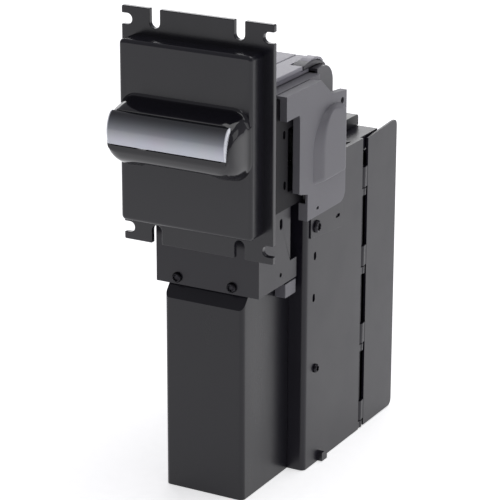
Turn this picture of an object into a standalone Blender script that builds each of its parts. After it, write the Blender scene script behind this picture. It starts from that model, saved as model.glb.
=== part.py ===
"""Banknote validator with a note stacker below it.

A note goes into the slot under the lit lens, runs back between the belts and the
upper guide, turns down round the drums and is pushed into the magazine at the rear.
Everything is measured from the front of the mounting flange and from the base, in
millimetres, and the whole assembly is then moved so that the origin is under its middle.
"""
import math

import bmesh
import bpy
from mathutils import Vector

MM = 0.001

# ---------------------------------------------------------------- driving sizes, in mm
BILL_W = 66.0             # widest note
BILL_PLAY = 1.0           # between the note and each path wall
GAP = 0.3                 # between pieces that rest on each other
BORE_GAP = 0.1            # radial, between a shaft and its bore

# note path
PATH_RISE = 26.5          # note plane above the stacker's top
PATH_OPEN = 2.2           # upper guide above the note plane
DRUM_Y = 87.5             # axis of the turn, behind the flange
DRUM_R = 14.4
DRUM_W = 9.0
PULLEY_Y = 16.0
PULLEY_R = 6.0
BELT_T = 0.9
BELT_W = 8.0
BELT_X = 20.0             # centre of each belt
BELT_PROUD = 0.4          # note plane above the belt
PINCH_R = 5.0
DRUM_SHAFT_R = 2.5
FRONT_SHAFT_R = 2.0
PINCH_SHAFT_R = 1.5
ELBOW_GAP = 1.7           # outer guide clear of the belt on the drums
ELBOW_WALL = 1.6

# gear train on the right
GEAR_MODULE = 0.8
DRUM_TEETH = 36
PINION_TEETH = 10
GEAR_T = 2.7
GEAR_GAP = 1.0            # gear clear of the chassis wall
MOTOR_DIRECTION = 228.8   # from the drums, in degrees, unless the stacker is in its way
MOTOR_R = 9.5
MOTOR_T = 8.0

# chassis and covers
CHASSIS_WALL = 1.9
CHASSIS_FRONT = 5.0
CHASSIS_REAR = 106.0
CHASSIS_DROP = 18.5       # chassis below the stacker's top, in front of it
FLOOR_T = 2.0
COVER_INSET = 3.3         # inside of a side cover from the chassis wall
COVER_WALL = 1.5
COVER_DROP = 30.5         # cover's lower edge below the stacker's top
COVER_RISE = 24.6         # cover's top above the note plane
COVER_FRONT = 31.5
COVER_REAR = 106.8
COVER_LIP = 58.0          # front of the cover where it meets the stacker
BULGE_RISE = 3.6
BULGE_WALL = 1.4

# upper unit
UPPER_SIDE_GAP = 0.5
UPPER_WALL = 2.0
UPPER_FRONT = 6.5
UPPER_REAR = 86.0
TOP_HALF = 27.5           # raised top cover
TOP_STEP = 1.5            # undercut below its edge
TOP_RISE = 31.0           # its top above the note plane
TOP_REAR = 99.0
UPPER_PIVOT_Y = 11.0
UPPER_PIVOT_DROP = 4.8    # pivot below the top cover's top

# bezel
FLANGE_T = 3.3
FLANGE_H = 139.2
FLANGE_RISE = 4.6         # flange centre above the note plane
FLANGE_EAR = 6.1          # flange beyond the bezel on each side
EAR_W = 18.4
EAR_GAP = 6.7
EAR_CUT = 11.2            # depth of the cut beside each ear
STUD_PITCH = 124.0
STUD_SLOT_H = 6.4
STUD_SLOT_D = 6.8
BEZEL_SIDE = 9.0          # bezel beyond the note path
BEZEL_H = 107.0
BEZEL_PROUD = 13.7
BEZEL_WALL = 2.4
BEZEL_ROUND = 2.2
LENS_SIDE = 4.4           # lens beyond the note path
LENS_T = 3.0
CHEEK_W = 3.1
LENS_FRONT = 35.5
LIP_DROP = 2.4            # lip's top below the note plane
SLOT_H = 5.6
SCOOP_HALF = 25.0

# lower bracket and front box
BRACKET_SIDE = 0.3        # bracket beyond the note path
BRACKET_T = 1.2
BRACKET_FRONT = 10.7
BRACKET_BOTTOM_DROP = 65.3   # below the stacker's top
BRACKET_TOP_DROP = 19.0
BRACKET_REAR_LOW = 57.0
BRACKET_REAR_HIGH = 49.0
BOX_HALF = 26.4
BOX_FRONT = 6.4
BOX_ROUND = 3.0
BOX_WALL = 1.6
BOX_SHOULDER = 7.0        # height of the slope at its top
SCREW_R = 3.1

# stacker
STACKER_SIDE = 1.9        # stacker beyond the chassis wall
STACKER_H = 192.5
STACKER_FRONT = 62.0
STACKER_REAR = 136.0
STACKER_ROUND = 3.0
STACKER_WALL = 1.6
SIDE_PLATE_T = 0.8
RAIL_Y = 108.0
RAIL_D = 10.5
RAIL_W = 6.0
PUSHER_Y = 102.6          # rear face of the pusher plate at rest
PUSHER_T = 1.6
PUSHER_TRAVEL = 15.6
RACK_W = 5.0
RACK_X = 10.0
PUSHER_TEETH = 16
PUSHER_SHAFT_R = 2.5
PRESSURE_T = 3.0
PRESSURE_TRAVEL = 36.0
SPRING_R = 8.0
SPRING_WIRE_R = 0.7
SPRING_TURNS = 6

# rear door
DOOR_GAP = 7.2
RIM_GAP = 0.4             # stacker's rim clear of the closed door
DOOR_D = 40.3
DOOR_WALL = 1.6
DOOR_RISE = 0.8           # door's sides above the stacker's top
LID_DROP = 9.5            # top of the door's tray below the stacker's top
TONGUE_D = 17.0           # stacker's top beyond the front of the door
DOOR_LIFT = 0.5           # door clear of what the stacker stands on
DOOR_ROUND = 4.0
HINGE_PIN_R = 1.2
KNUCKLE_R = 2.9
KNUCKLE_H = 13.0
STACKER_KNUCKLE_H = 4.4
KNUCKLE_SHARES = (0.035, 0.307, 0.574, 0.84)   # foot of each knuckle up the stacker

# ---------------------------------------------------------------- derived places
PATH_HALF = BILL_W / 2 + BILL_PLAY
PATH_Z = STACKER_H + PATH_RISE
BELT_TOP = PATH_Z - BELT_PROUD
DRUM_Z = BELT_TOP - BELT_T - GAP - DRUM_R
PULLEY_Z = BELT_TOP - BELT_T - GAP - PULLEY_R
CHASSIS_HALF = PATH_HALF + CHASSIS_WALL
STACKER_HALF = CHASSIS_HALF + STACKER_SIDE
STACKER_INNER = STACKER_HALF - STACKER_WALL
COVER_INNER = CHASSIS_HALF + COVER_INSET
COVER_OUTER = COVER_INNER + COVER_WALL
COVER_TOP = PATH_Z + COVER_RISE
COVER_BOTTOM = STACKER_H - COVER_DROP
BEZEL_HALF = PATH_HALF + BEZEL_SIDE
FLANGE_HALF = BEZEL_HALF + FLANGE_EAR
FLANGE_Z = PATH_Z + FLANGE_RISE
LENS_HALF = PATH_HALF + LENS_SIDE
CHEEK_HALF = LENS_HALF + CHEEK_W
BRACKET_HALF = PATH_HALF + BRACKET_SIDE
BRACKET_BOTTOM = STACKER_H - BRACKET_BOTTOM_DROP
BRACKET_TOP = STACKER_H - BRACKET_TOP_DROP
BOX_TOP = BRACKET_BOTTOM - 0.5
UPPER_HALF = PATH_HALF - UPPER_SIDE_GAP
UPPER_TOP = COVER_TOP + GAP
TOP_Z = PATH_Z + TOP_RISE
UPPER_PIVOT_Z = TOP_Z - UPPER_PIVOT_DROP
DRUM_GEAR_R = GEAR_MODULE * DRUM_TEETH / 2
PINION_R = GEAR_MODULE * PINION_TEETH / 2
PINION_DIST = DRUM_GEAR_R + PINION_R
MOTOR_REACH = DRUM_Y - STACKER_FRONT - STACKER_WALL - MOTOR_R - 0.6
PINION_ANGLE = max(MOTOR_DIRECTION, 180.0 + math.degrees(math.acos(min(1.0, MOTOR_REACH / PINION_DIST))))
PINION_Y = DRUM_Y + PINION_DIST * math.cos(math.radians(PINION_ANGLE))
PINION_Z = DRUM_Z + PINION_DIST * math.sin(math.radians(PINION_ANGLE))
GEAR_X = CHASSIS_HALF + GEAR_GAP
ELBOW_R = DRUM_R + GAP + BELT_T + ELBOW_GAP
ELBOW_REAR = DRUM_Y + ELBOW_R + ELBOW_WALL
PUSHER_R = GEAR_MODULE * PUSHER_TEETH / 2
PUSHER_SHAFT_Y = STACKER_FRONT + 20.0
PUSHER_SHAFT_Z = STACKER_H * 0.47
DOOR_FRONT = STACKER_REAR + DOOR_GAP
DOOR_REAR = DOOR_FRONT + DOOR_D
DOOR_TOP = STACKER_H + DOOR_RISE
PIN_X = STACKER_HALF + 0.4 - KNUCKLE_R
PIN_Y = STACKER_REAR + DOOR_GAP / 2
PRESSURE_Y = RAIL_Y + RAIL_D + 0.4
ASSEMBLY_Y = (DOOR_REAR - LENS_FRONT) / 2


# ---------------------------------------------------------------- scene and helpers
for old in list(bpy.data.objects):
    bpy.data.objects.remove(old, do_unlink=True)

assembly = bpy.data.objects.new("assembly", None)
bpy.context.scene.collection.objects.link(assembly)
assembly.location = (0, -ASSEMBLY_Y * MM, 0)


def material(name, colour, roughness, metallic=0.0):
    made = bpy.data.materials.new(name)
    made.use_nodes = True
    shader = made.node_tree.nodes["Principled BSDF"]
    shader.inputs["Base Color"].default_value = (*colour, 1)
    shader.inputs["Roughness"].default_value = roughness
    shader.inputs["Metallic"].default_value = metallic
    return made


def prism(loop, axis, lo, hi):
    """A loop of points extruded along an axis: X takes (y, z), Y takes (x, z), Z takes (x, y)."""
    bm = bmesh.new()
    lift = {"X": lambda a, b: (lo, a, b), "Y": lambda a, b: (a, lo, b), "Z": lambda a, b: (a, b, lo)}
    along = {"X": (hi - lo, 0, 0), "Y": (0, hi - lo, 0), "Z": (0, 0, hi - lo)}[axis]
    corners = [bm.verts.new(lift[axis](a, b)) for a, b in loop]
    base = bm.faces.new(corners)
    grown = bmesh.ops.extrude_face_region(bm, geom=[base])
    moved = [v for v in grown["geom"] if isinstance(v, bmesh.types.BMVert)]
    bmesh.ops.translate(bm, verts=moved, vec=along)
    bmesh.ops.recalc_face_normals(bm, faces=bm.faces)
    return bm


def box(x0, x1, y0, y1, z0, z1):
    return prism([(x0, y0), (x1, y0), (x1, y1), (x0, y1)], "Z", z0, z1)


def circle(a, b, radius, sides=24, start=0.0, turn=360.0):
    """Points round a centre; a part turn includes both of its ends."""
    whole = turn >= 360.0
    steps = sides if whole else sides + 1
    points = []
    for i in range(steps):
        angle = math.radians(start + turn * i / sides)
        points.append((a + radius * math.cos(angle), b + radius * math.sin(angle)))
    return points


def rod(axis, a, b, radius, lo, hi, sides=24):
    return prism(circle(a, b, radius, sides), axis, lo, hi)


def rounded(a0, a1, b0, b1, radii, sides=5):
    """Rectangle with a radius for each corner: low-low, high-low, high-high, low-high."""
    points = []
    corners = ((a0, b0, 180.0), (a1, b0, 270.0), (a1, b1, 0.0), (a0, b1, 90.0))
    for (a, b, start), r in zip(corners, radii):
        if r <= 0:
            points.append((a, b))
            continue
        ca = a + r if a == a0 else a - r
        cb = b + r if b == b0 else b - r
        points += circle(ca, cb, r, sides, start, 90.0)
    return points


def slot(a, b, half_long, half_wide, upright=True, sides=8):
    """Round-ended slot about a centre."""
    straight = half_long - half_wide
    if upright:
        return (circle(a, b + straight, half_wide, sides, 0.0, 180.0)
                + circle(a, b - straight, half_wide, sides, 180.0, 180.0))
    return (circle(a + straight, b, half_wide, sides, -90.0, 180.0)
            + circle(a - straight, b, half_wide, sides, 90.0, 180.0))


def gear(a, b, teeth, module, phase, flank=0.46):
    """Outline of a spur gear with straight-sided teeth; phase is the angle of one tooth."""
    pitch = module * teeth / 2
    tip = pitch + module * 0.95
    root = pitch - module * 1.2
    step = 360.0 / teeth
    points = []
    for i in range(teeth):
        centre = phase + i * step
        for radius, share in ((root, -0.36), (pitch, -flank / 2), (tip, -0.11),
                              (tip, 0.11), (pitch, flank / 2), (root, 0.36)):
            angle = math.radians(centre + share * step)
            points.append((a + radius * math.cos(angle), b + radius * math.sin(angle)))
    return points


def place(name, bm, look, origin=(0, 0, 0), parent=None, smooth=False):
    """Put a solid, given in the assembly's millimetres, into the scene as one named piece."""
    base = Vector(origin)
    bmesh.ops.translate(bm, verts=bm.verts, vec=-base)
    bmesh.ops.scale(bm, verts=bm.verts, vec=(MM, MM, MM))
    mesh = bpy.data.meshes.new(name)
    bm.to_mesh(mesh)
    bm.free()
    if smooth:
        mesh.shade_smooth()
        mesh.set_sharp_from_angle(angle=math.radians(35))
    made = bpy.data.objects.new(name, mesh)
    bpy.context.scene.collection.objects.link(made)
    made.parent = parent or assembly
    made.location = (base - Vector(made.parent.get("origin_mm", (0, 0, 0)))) * MM
    made["origin_mm"] = list(base)
    if look:
        made.data.materials.append(look)
    return made


def change(target, bm, operation):
    """Cut a shape out of a piece, or join one to it, with a Boolean modifier."""
    count = len(target.modifiers)
    tool = place(f"tool_{target.name}_{count}", bm, None)
    tool.hide_render = True
    tool.display_type = "WIRE"
    step = target.modifiers.new(f"{operation.lower()}_{count}", "BOOLEAN")
    step.operation = operation
    step.object = tool
    step.solver = "EXACT"


def cut(target, *shapes):
    for bm in shapes:
        change(target, bm, "DIFFERENCE")


def join(target, *shapes):
    for bm in shapes:
        change(target, bm, "UNION")


def mirrored(loop):
    return [(-a, b) for a, b in reversed(loop)]


# ---------------------------------------------------------------- materials
black_abs = material("black_abs", (0.018, 0.018, 0.021), 0.34)
lens_acrylic = material("smoked_acrylic", (0.30, 0.31, 0.36), 0.16)
chassis_abs = material("chassis_black_plastic", (0.022, 0.022, 0.025), 0.50)
cover_grey = material("grey_moulded_plastic", (0.20, 0.20, 0.215), 0.48)
top_grey = material("light_grey_moulded_plastic", (0.46, 0.46, 0.48), 0.45)
elbow_grey = material("dark_grey_plastic", (0.11, 0.11, 0.12), 0.50)
black_steel = material("black_painted_steel", (0.040, 0.040, 0.043), 0.42)
bright_steel = material("zinc_plated_steel", (0.56, 0.57, 0.58), 0.30, 1.0)
dark_screw = material("black_screw_steel", (0.06, 0.06, 0.065), 0.36, 1.0)
rubber = material("grey_rubber", (0.10, 0.10, 0.10), 0.75)
belt_rubber = material("belt_polyurethane", (0.05, 0.05, 0.05), 0.60)
gear_acetal = material("white_acetal", (0.72, 0.71, 0.67), 0.40)
board_green = material("circuit_board", (0.02, 0.12, 0.05), 0.45)
connector_grey = material("connector_nylon", (0.42, 0.42, 0.44), 0.50)
copper_varnish = material("varnished_transformer", (0.09, 0.08, 0.08), 0.45)


# ================================================================ bezel
# One black moulding: a flat flange with four slotted ears that hang on the machine's
# studs, a raised rectangular mask in front of it, and the mouth that the note enters.
flange_low = FLANGE_Z - FLANGE_H / 2
flange_high = FLANGE_Z + FLANGE_H / 2
bezel_low = FLANGE_Z - BEZEL_H / 2 + 0.3
bezel_high = bezel_low + BEZEL_H
mask_round = [BEZEL_ROUND] * 4
bezel = place(
    "bezel",
    prism(rounded(-BEZEL_HALF, BEZEL_HALF, bezel_low, bezel_high, mask_round), "Y", -BEZEL_PROUD, 1.0),
    black_abs,
)
join(bezel, box(-FLANGE_HALF, FLANGE_HALF, 0, FLANGE_T, flange_low, flange_high))

# mouth: roof above the lens, floor under it, cheeks at its ends, and the lip below the slot
lip_top = PATH_Z - LIP_DROP
slot_top = lip_top + SLOT_H
roof_z = PATH_Z + 26.5
root_y = -BEZEL_PROUD + 1.0
lens_top_y = -28.6
lens_top_z = PATH_Z + 22.2
roof = [(root_y, roof_z), (lens_top_y, lens_top_z), (lens_top_y, lens_top_z - 2.6), (root_y, roof_z - 3.2)]
join(bezel, prism(roof, "X", -LENS_HALF - 0.5, LENS_HALF + 0.5))
lens_floor = [(root_y, slot_top), (-30.2, slot_top), (-30.2, slot_top + 1.8), (root_y, slot_top + 1.8)]
join(bezel, prism(lens_floor, "X", -LENS_HALF - 0.5, LENS_HALF + 0.5))
lip = [
    (root_y, lip_top), (-31.5, lip_top), (-30.9, lip_top - 2.2), (-28.9, lip_top - 4.4),
    (-23.2, lip_top - 8.4), (-17.9, lip_top - 11.0), (root_y, lip_top - 12.4),
]
join(bezel, prism(lip, "X", -LENS_HALF - 0.5, LENS_HALF + 0.5))


def cheek(shrink):
    """Side outline of the mouth, drawn in towards the bezel at its outer end."""
    outline = [
        (root_y, roof_z), (lens_top_y, lens_top_z), (-31.0, PATH_Z + 19.0), (-32.8, PATH_Z + 12.0),
        (-32.8, PATH_Z + 4.0), (-31.5, lip_top), (-28.9, lip_top - 4.4), (-23.2, lip_top - 8.4),
        (-17.9, lip_top - 11.0), (root_y, lip_top - 12.4),
    ]
    middle = PATH_Z + 6.0
    return [(root_y + (y - root_y) * (1 - shrink), middle + (z - middle) * (1 - shrink * 0.5))
            for y, z in outline]


def cheek_solid(side):
    bm = bmesh.new()
    inner = [bm.verts.new((side * LENS_HALF, y, z)) for y, z in cheek(0.0)]
    shoulder = [bm.verts.new((side * (LENS_HALF + CHEEK_W * 0.7), y, z)) for y, z in cheek(0.08)]
    outer = [bm.verts.new((side * CHEEK_HALF, y, z)) for y, z in cheek(0.26)]
    count = len(inner)
    for near, far in ((inner, shoulder), (shoulder, outer)):
        for i in range(count):
            j = (i + 1) % count
            bm.faces.new((near[i], near[j], far[j], far[i]))
    bm.faces.new(inner)
    bm.faces.new(outer)
    bmesh.ops.recalc_face_normals(bm, faces=bm.faces)
    return bm


join(bezel, cheek_solid(1), cheek_solid(-1))
inner_half = BEZEL_HALF - BEZEL_WALL
cut(bezel, box(-inner_half, inner_half, -BEZEL_PROUD + BEZEL_WALL, FLANGE_T + 1,
               bezel_low + BEZEL_WALL, bezel_high - BEZEL_WALL))
# light chamber behind the lens, open to the hollow of the bezel, and the note slot
cut(bezel, box(-LENS_HALF + 1.2, LENS_HALF - 1.2, -BEZEL_PROUD - 1, -BEZEL_PROUD + BEZEL_WALL + 1,
               slot_top + 1.8, roof_z - 6.0))
cut(bezel, box(-PATH_HALF - 1.5, PATH_HALF + 1.5, -LENS_FRONT - 1, -BEZEL_PROUD + BEZEL_WALL + 1,
               lip_top, slot_top))
# finger scoop under the lip
scoop = [(SCOOP_HALF * math.cos(a), lip_top - 13.5 + 9.0 * math.sin(a))
         for a in [math.radians(15.0 * i) for i in range(13)]]
scoop += [(-SCOOP_HALF, lip_top - 16.0), (SCOOP_HALF, lip_top - 16.0)]
cut(bezel, prism(scoop, "Y", -LENS_FRONT - 1, -BEZEL_PROUD))
# stud slots open at the sides, and the cuts that part the ears from the centre tabs
for side in (-1, 1):
    for level in (-1, 1):
        z = FLANGE_Z + level * STUD_PITCH / 2
        reach = FLANGE_HALF - STUD_SLOT_D + STUD_SLOT_H / 2
        notch = circle(reach, z, STUD_SLOT_H / 2, 8, 90.0, 180.0)
        notch += [(FLANGE_HALF + 1, z - STUD_SLOT_H / 2), (FLANGE_HALF + 1, z + STUD_SLOT_H / 2)]
        notch = notch if side > 0 else mirrored(notch)
        cut(bezel, prism(notch, "Y", -1, FLANGE_T + 1))
        ear_in = FLANGE_HALF - EAR_W
        middle = ear_in - EAR_GAP / 2
        edge = FLANGE_Z + level * FLANGE_H / 2
        bottom = edge - level * (EAR_CUT - EAR_GAP / 2)
        start = 180.0 if level > 0 else 0.0
        gap = circle(middle, bottom, EAR_GAP / 2, 8, start, 180.0)
        gap += [(middle + level * EAR_GAP / 2, edge + level), (middle - level * EAR_GAP / 2, edge + level)]
        gap = gap if side > 0 else mirrored(gap)
        cut(bezel, prism(gap, "Y", -1, FLANGE_T + 1))

# Lens: a curved strip of smoked acrylic that closes the front of the light chamber.
lens_outer = [
    (lens_top_y - 0.4, lens_top_z - 0.6), (-32.4, PATH_Z + 19.4), (-34.4, PATH_Z + 16.2),
    (-LENS_FRONT, PATH_Z + 12.2), (-LENS_FRONT + 0.2, PATH_Z + 8.0), (-34.4, slot_top - 0.2),
]
lens_inner = [
    (-31.2, slot_top - 0.2), (-31.2, PATH_Z + 8.0), (-31.3, PATH_Z + 12.0),
    (-31.0, PATH_Z + 15.6), (-29.6, PATH_Z + 18.2), (lens_top_y - 0.4, PATH_Z + 18.9),
]
place("mouth_lens", prism(lens_outer + lens_inner, "X", -LENS_HALF + GAP, LENS_HALF - GAP), lens_acrylic,
      smooth=True)

# Lamp board behind the lens, with its row of lamps.
lamp_y = -22.0
lamp_low = slot_top + 1.8 + GAP
lamp_board = place(
    "mouth_lamp_board",
    box(-LENS_HALF + 3, LENS_HALF - 3, lamp_y, lamp_y + 1.2, lamp_low, PATH_Z + 18.0),
    board_green,
)
for i in range(5):
    x = (i - 2) * (LENS_HALF * 0.38)
    join(lamp_board, box(x - 1.8, x + 1.8, lamp_y - 1.2, lamp_y + 0.5, PATH_Z + 9.0, PATH_Z + 12.0))


# ================================================================ chassis of the head
# Black moulded frame: two side walls joined by the floor of the note path. It stands on
# the bracket in front and drops into the open top of the stacker behind.
chassis_low = STACKER_H - CHASSIS_DROP
dip_low = PINION_Z - MOTOR_R - 1.5
chassis_top = COVER_TOP - 2.2
wall_outline = [
    (CHASSIS_FRONT, chassis_low), (STACKER_FRONT - 2.5, chassis_low),
    (STACKER_FRONT - 2.5, STACKER_H + GAP), (STACKER_FRONT + 4.0, STACKER_H + GAP),
    (STACKER_FRONT + 4.0, dip_low), (PINION_Y + MOTOR_R + 2, dip_low),
    (CHASSIS_REAR - 2, STACKER_H - 3), (CHASSIS_REAR, PATH_Z + 6.0),
    (DRUM_Y + 6, PATH_Z + 8.0), (DRUM_Y - 9, chassis_top), (CHASSIS_FRONT, chassis_top),
]
chassis = place("head_chassis", prism(wall_outline, "X", -CHASSIS_HALF, CHASSIS_HALF), chassis_abs)
floor_top = PATH_Z - 0.7
floor_low = floor_top - FLOOR_T
floor_rear = DRUM_Y - 2.0
cut(chassis, box(-PATH_HALF, PATH_HALF, CHASSIS_FRONT - 1, COVER_REAR + 5, floor_top, chassis_top + 5))
cut(chassis, box(-PATH_HALF, PATH_HALF, CHASSIS_FRONT - 1, COVER_REAR + 5, dip_low - 5, floor_low))
cut(chassis, box(-PATH_HALF, PATH_HALF, floor_rear, COVER_REAR + 5, floor_low - 1, floor_top + 1))
for side in (-1, 1):
    x = side * BELT_X
    cut(chassis, box(x - BELT_W / 2 - 1, x + BELT_W / 2 + 1, PULLEY_Y - 9, floor_rear + 1,
                     floor_low - 1, floor_top + 1))
    lo, hi = (PATH_HALF - 1, CHASSIS_HALF + 1) if side > 0 else (-CHASSIS_HALF - 1, -PATH_HALF + 1)
    cut(chassis, rod("X", DRUM_Y, DRUM_Z, DRUM_SHAFT_R + BORE_GAP, lo, hi))
    cut(chassis, rod("X", PULLEY_Y, PULLEY_Z, FRONT_SHAFT_R + BORE_GAP, lo, hi))
    # lightening window and the two oval fixing holes in the wall
    cut(chassis, prism(rounded(42.0, 50.5, STACKER_H - 9, PATH_Z + 3, [1.5] * 4, 3), "X", lo, hi))
    cut(chassis, prism(slot(38.3, STACKER_H - 3.8, 2.6, 1.4), "X", lo, hi))
    cut(chassis, prism(slot(37.4, PATH_Z + 0.2, 2.6, 1.4), "X", lo, hi))
    # foot on the bracket
    foot = (PATH_HALF - 8, PATH_HALF + 0.6) if side > 0 else (-PATH_HALF - 0.6, -PATH_HALF + 8)
    join(chassis, box(foot[0], foot[1], BRACKET_FRONT + 2, BRACKET_REAR_HIGH - 6, chassis_low,
                      chassis_low + 2))
cut(chassis, rod("X", PINION_Y, PINION_Z, 3.0, PATH_HALF - 1, CHASSIS_HALF + 1))

# pivot posts of the upper unit stand up from the front of the walls
for side in (-1, 1):
    lo, hi = (PATH_HALF, CHASSIS_HALF) if side > 0 else (-CHASSIS_HALF, -PATH_HALF)
    post = [(CHASSIS_FRONT, chassis_top - 3), (UPPER_PIVOT_Y + 4, chassis_top - 3)]
    post += circle(UPPER_PIVOT_Y, UPPER_PIVOT_Z, 3.2, 8, 0.0, 180.0)
    post += [(CHASSIS_FRONT + 1, UPPER_PIVOT_Z - 3)]
    join(chassis, prism(post, "X", lo, hi))
    cut(chassis, rod("X", UPPER_PIVOT_Y, UPPER_PIVOT_Z, 1.5 + BORE_GAP, lo - 1, hi + 1, 16))

for tag, lo, hi in (("left", -CHASSIS_HALF + 0.1, -TOP_HALF - 1.0),
                    ("right", TOP_HALF + 1.0, CHASSIS_HALF - 0.1)):
    place(f"upper_hinge_pin_{tag}", rod("X", UPPER_PIVOT_Y, UPPER_PIVOT_Z, 1.5, lo, hi, 16), bright_steel,
          smooth=True)


# ================================================================ side covers
# Grey moulded covers over the gears on the right and the main board on the left. The
# right one bulges out over the drum gear and stops at the same rear edge.
def cover_outline(inset=0.0):
    """Side view of a cover, from its front top corner rearwards and round."""
    i = inset
    top_rear = DRUM_Y - 8.0
    wing = PATH_Z + 11.6
    low_front = STACKER_H - 13.9
    corner = circle(COVER_REAR - i - 7, COVER_BOTTOM + i + 7, 7, 5, -90.0, 90.0)
    outline = [
        (COVER_FRONT + i, COVER_TOP - i), (top_rear - i * 0.4, COVER_TOP - i),
        (top_rear + 8 - i, COVER_TOP - 8 - i * 0.6), (top_rear + 12.8, wing + 0.5 - i), (COVER_REAR - i,
                                                                                         wing - i),
    ]
    outline += list(reversed(corner))
    outline += [
        (COVER_LIP + i, COVER_BOTTOM + i), (COVER_LIP + i, low_front + i * 0.2), (48.2 + i,
                                                                                  low_front + 2.4 + i),
        (47.6 + i, PATH_Z + 10.0 + i), (COVER_FRONT + i, PATH_Z + 10.0 + i),
    ]
    return outline


def side_cover(name, side):
    span = (COVER_INNER, COVER_OUTER) if side > 0 else (-COVER_OUTER, -COVER_INNER)
    cover = place(name, prism(cover_outline(), "X", *span), cover_grey)
    x_in = CHASSIS_HALF + GAP

    def reach(lo, hi):
        return (lo, hi) if side > 0 else (-hi, -lo)

    # top flange over the chassis wall, and rims at the front, the scoop and the rear
    join(cover, box(*reach(PATH_HALF - 0.1, COVER_OUTER), COVER_FRONT, DRUM_Y - 8.0,
                    COVER_TOP - 1.8, COVER_TOP))
    join(cover, box(*reach(x_in, COVER_OUTER), COVER_FRONT, COVER_FRONT + 1.5, PATH_Z + 10.0, COVER_TOP))
    join(cover, box(*reach(x_in, COVER_OUTER), 47.6, 49.2, STACKER_H - 11.0, PATH_Z + 11.5))
    join(cover, box(*reach(CHASSIS_HALF - 1.2, COVER_OUTER), COVER_LIP, STACKER_FRONT - 2.8,
                    COVER_BOTTOM, STACKER_H - 20.0))
    join(cover, box(*reach(x_in, COVER_OUTER), COVER_REAR - 1.5, COVER_REAR, STACKER_H + 1, PATH_Z + 11.6))
    return cover


right_cover = side_cover("right_side_cover", 1)
bulge_low = min(STACKER_H - 10.5, PINION_Z - PINION_R - GEAR_MODULE - 2.3)
bulge_front = min(DRUM_Y - 22.8, PINION_Y - PINION_R - GEAR_MODULE - 5.8)
bulge_top = PATH_Z + 7.0


def bulge(inset, front_inset):
    """D outline: flat foot, straight rear edge, and a front that curves back at the top."""
    i = inset
    r = 24.0
    front = bulge_front + i + front_inset
    cy = DRUM_Y + 7.0
    cz = bulge_top - i - r
    rear = COVER_REAR - i - front_inset
    points = [(rear, bulge_low + i), (rear, cz + r * 0.80)]
    for step in range(9):
        angle = math.radians(56.0 + step * 15.5)
        y = cy + (cy - front) * math.cos(angle)
        points.append((y, cz + r * math.sin(angle)))
    points += [(front, bulge_low + i + 3.0), (front + 3.0, bulge_low + i)]
    return points


def bulge_solid(lo, hi, inset, slope):
    bm = bmesh.new()
    near = [bm.verts.new((lo, y, z)) for y, z in bulge(inset, 0.0)]
    far = [bm.verts.new((hi, y, z)) for y, z in bulge(inset + 0.6, slope)]
    count = len(near)
    for i in range(count):
        j = (i + 1) % count
        bm.faces.new((near[i], near[j], far[j], far[i]))
    bm.faces.new(near)
    bm.faces.new(far)
    bmesh.ops.recalc_face_normals(bm, faces=bm.faces)
    return bm


join(right_cover, bulge_solid(COVER_OUTER - 0.8, COVER_OUTER + BULGE_RISE, 0.0, 6.0))
cut(right_cover, bulge_solid(COVER_INNER - 1.0, COVER_OUTER + BULGE_RISE - BULGE_WALL, BULGE_WALL, 4.0))
cover_screw_y = COVER_REAR - 5.5
cover_screw_z = PATH_Z + 6.3
foot_hole_y = 71.0
foot_hole_z = COVER_BOTTOM + 4.8
cut(right_cover, rod("X", cover_screw_y, cover_screw_z, 2.0, COVER_INNER - 3,
                     COVER_OUTER + BULGE_RISE + 2, 16))
cut(right_cover, prism(slot(foot_hole_y, foot_hole_z, 1.6, 0.9), "X", COVER_INNER - 1, COVER_OUTER + 1))

left_cover = side_cover("left_side_cover", -1)
cut(left_cover, rod("X", cover_screw_y, cover_screw_z, 2.0, -COVER_OUTER - 2, -COVER_INNER + 3, 16))
cut(left_cover, prism(slot(foot_hole_y, foot_hole_z, 1.6, 0.9), "X", -COVER_OUTER - 1, -COVER_INNER + 1))

# a screw at the rear of each cover, its head sunk in the cover's hole
for name, side in (("cover_screw_right", 1), ("cover_screw_left", -1)):
    lo, hi = CHASSIS_HALF + GAP, COVER_OUTER - 0.4
    span = (lo, hi) if side > 0 else (-hi, -lo)
    place(name, rod("X", cover_screw_y, cover_screw_z, 1.7, *span, 12), dark_screw, smooth=True)

# Main board on the left wall, under its cover.
board_x = CHASSIS_HALF + 0.5
main_board = place(
    "main_board",
    box(-board_x - 1.2, -board_x, 50.5, DRUM_Y - 10, STACKER_H + 4, COVER_TOP - 6),
    board_green,
)
for y, z, w, h in ((60, -9, 14, 10), (70, 3, 9, 8), (62, 12, 18, 4)):
    join(main_board, box(-board_x - 2.4, -board_x - 0.6, y - w / 2, y + w / 2, PATH_Z + z - h / 2,
                         PATH_Z + z + h / 2))


# ================================================================ drums, pulleys and belts
def hub(name, y, z, radius, bore, x, width, look, parent):
    """Turned roller on a shaft, with a bore that clears it."""
    roller = place(name, rod("X", y, z, radius, x - width / 2, x + width / 2, 32), look, (x, y, z),
                   parent, True)
    cut(roller, rod("X", y, z, bore, x - width / 2 - 1, x + width / 2 + 1, 20))
    return roller


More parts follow.
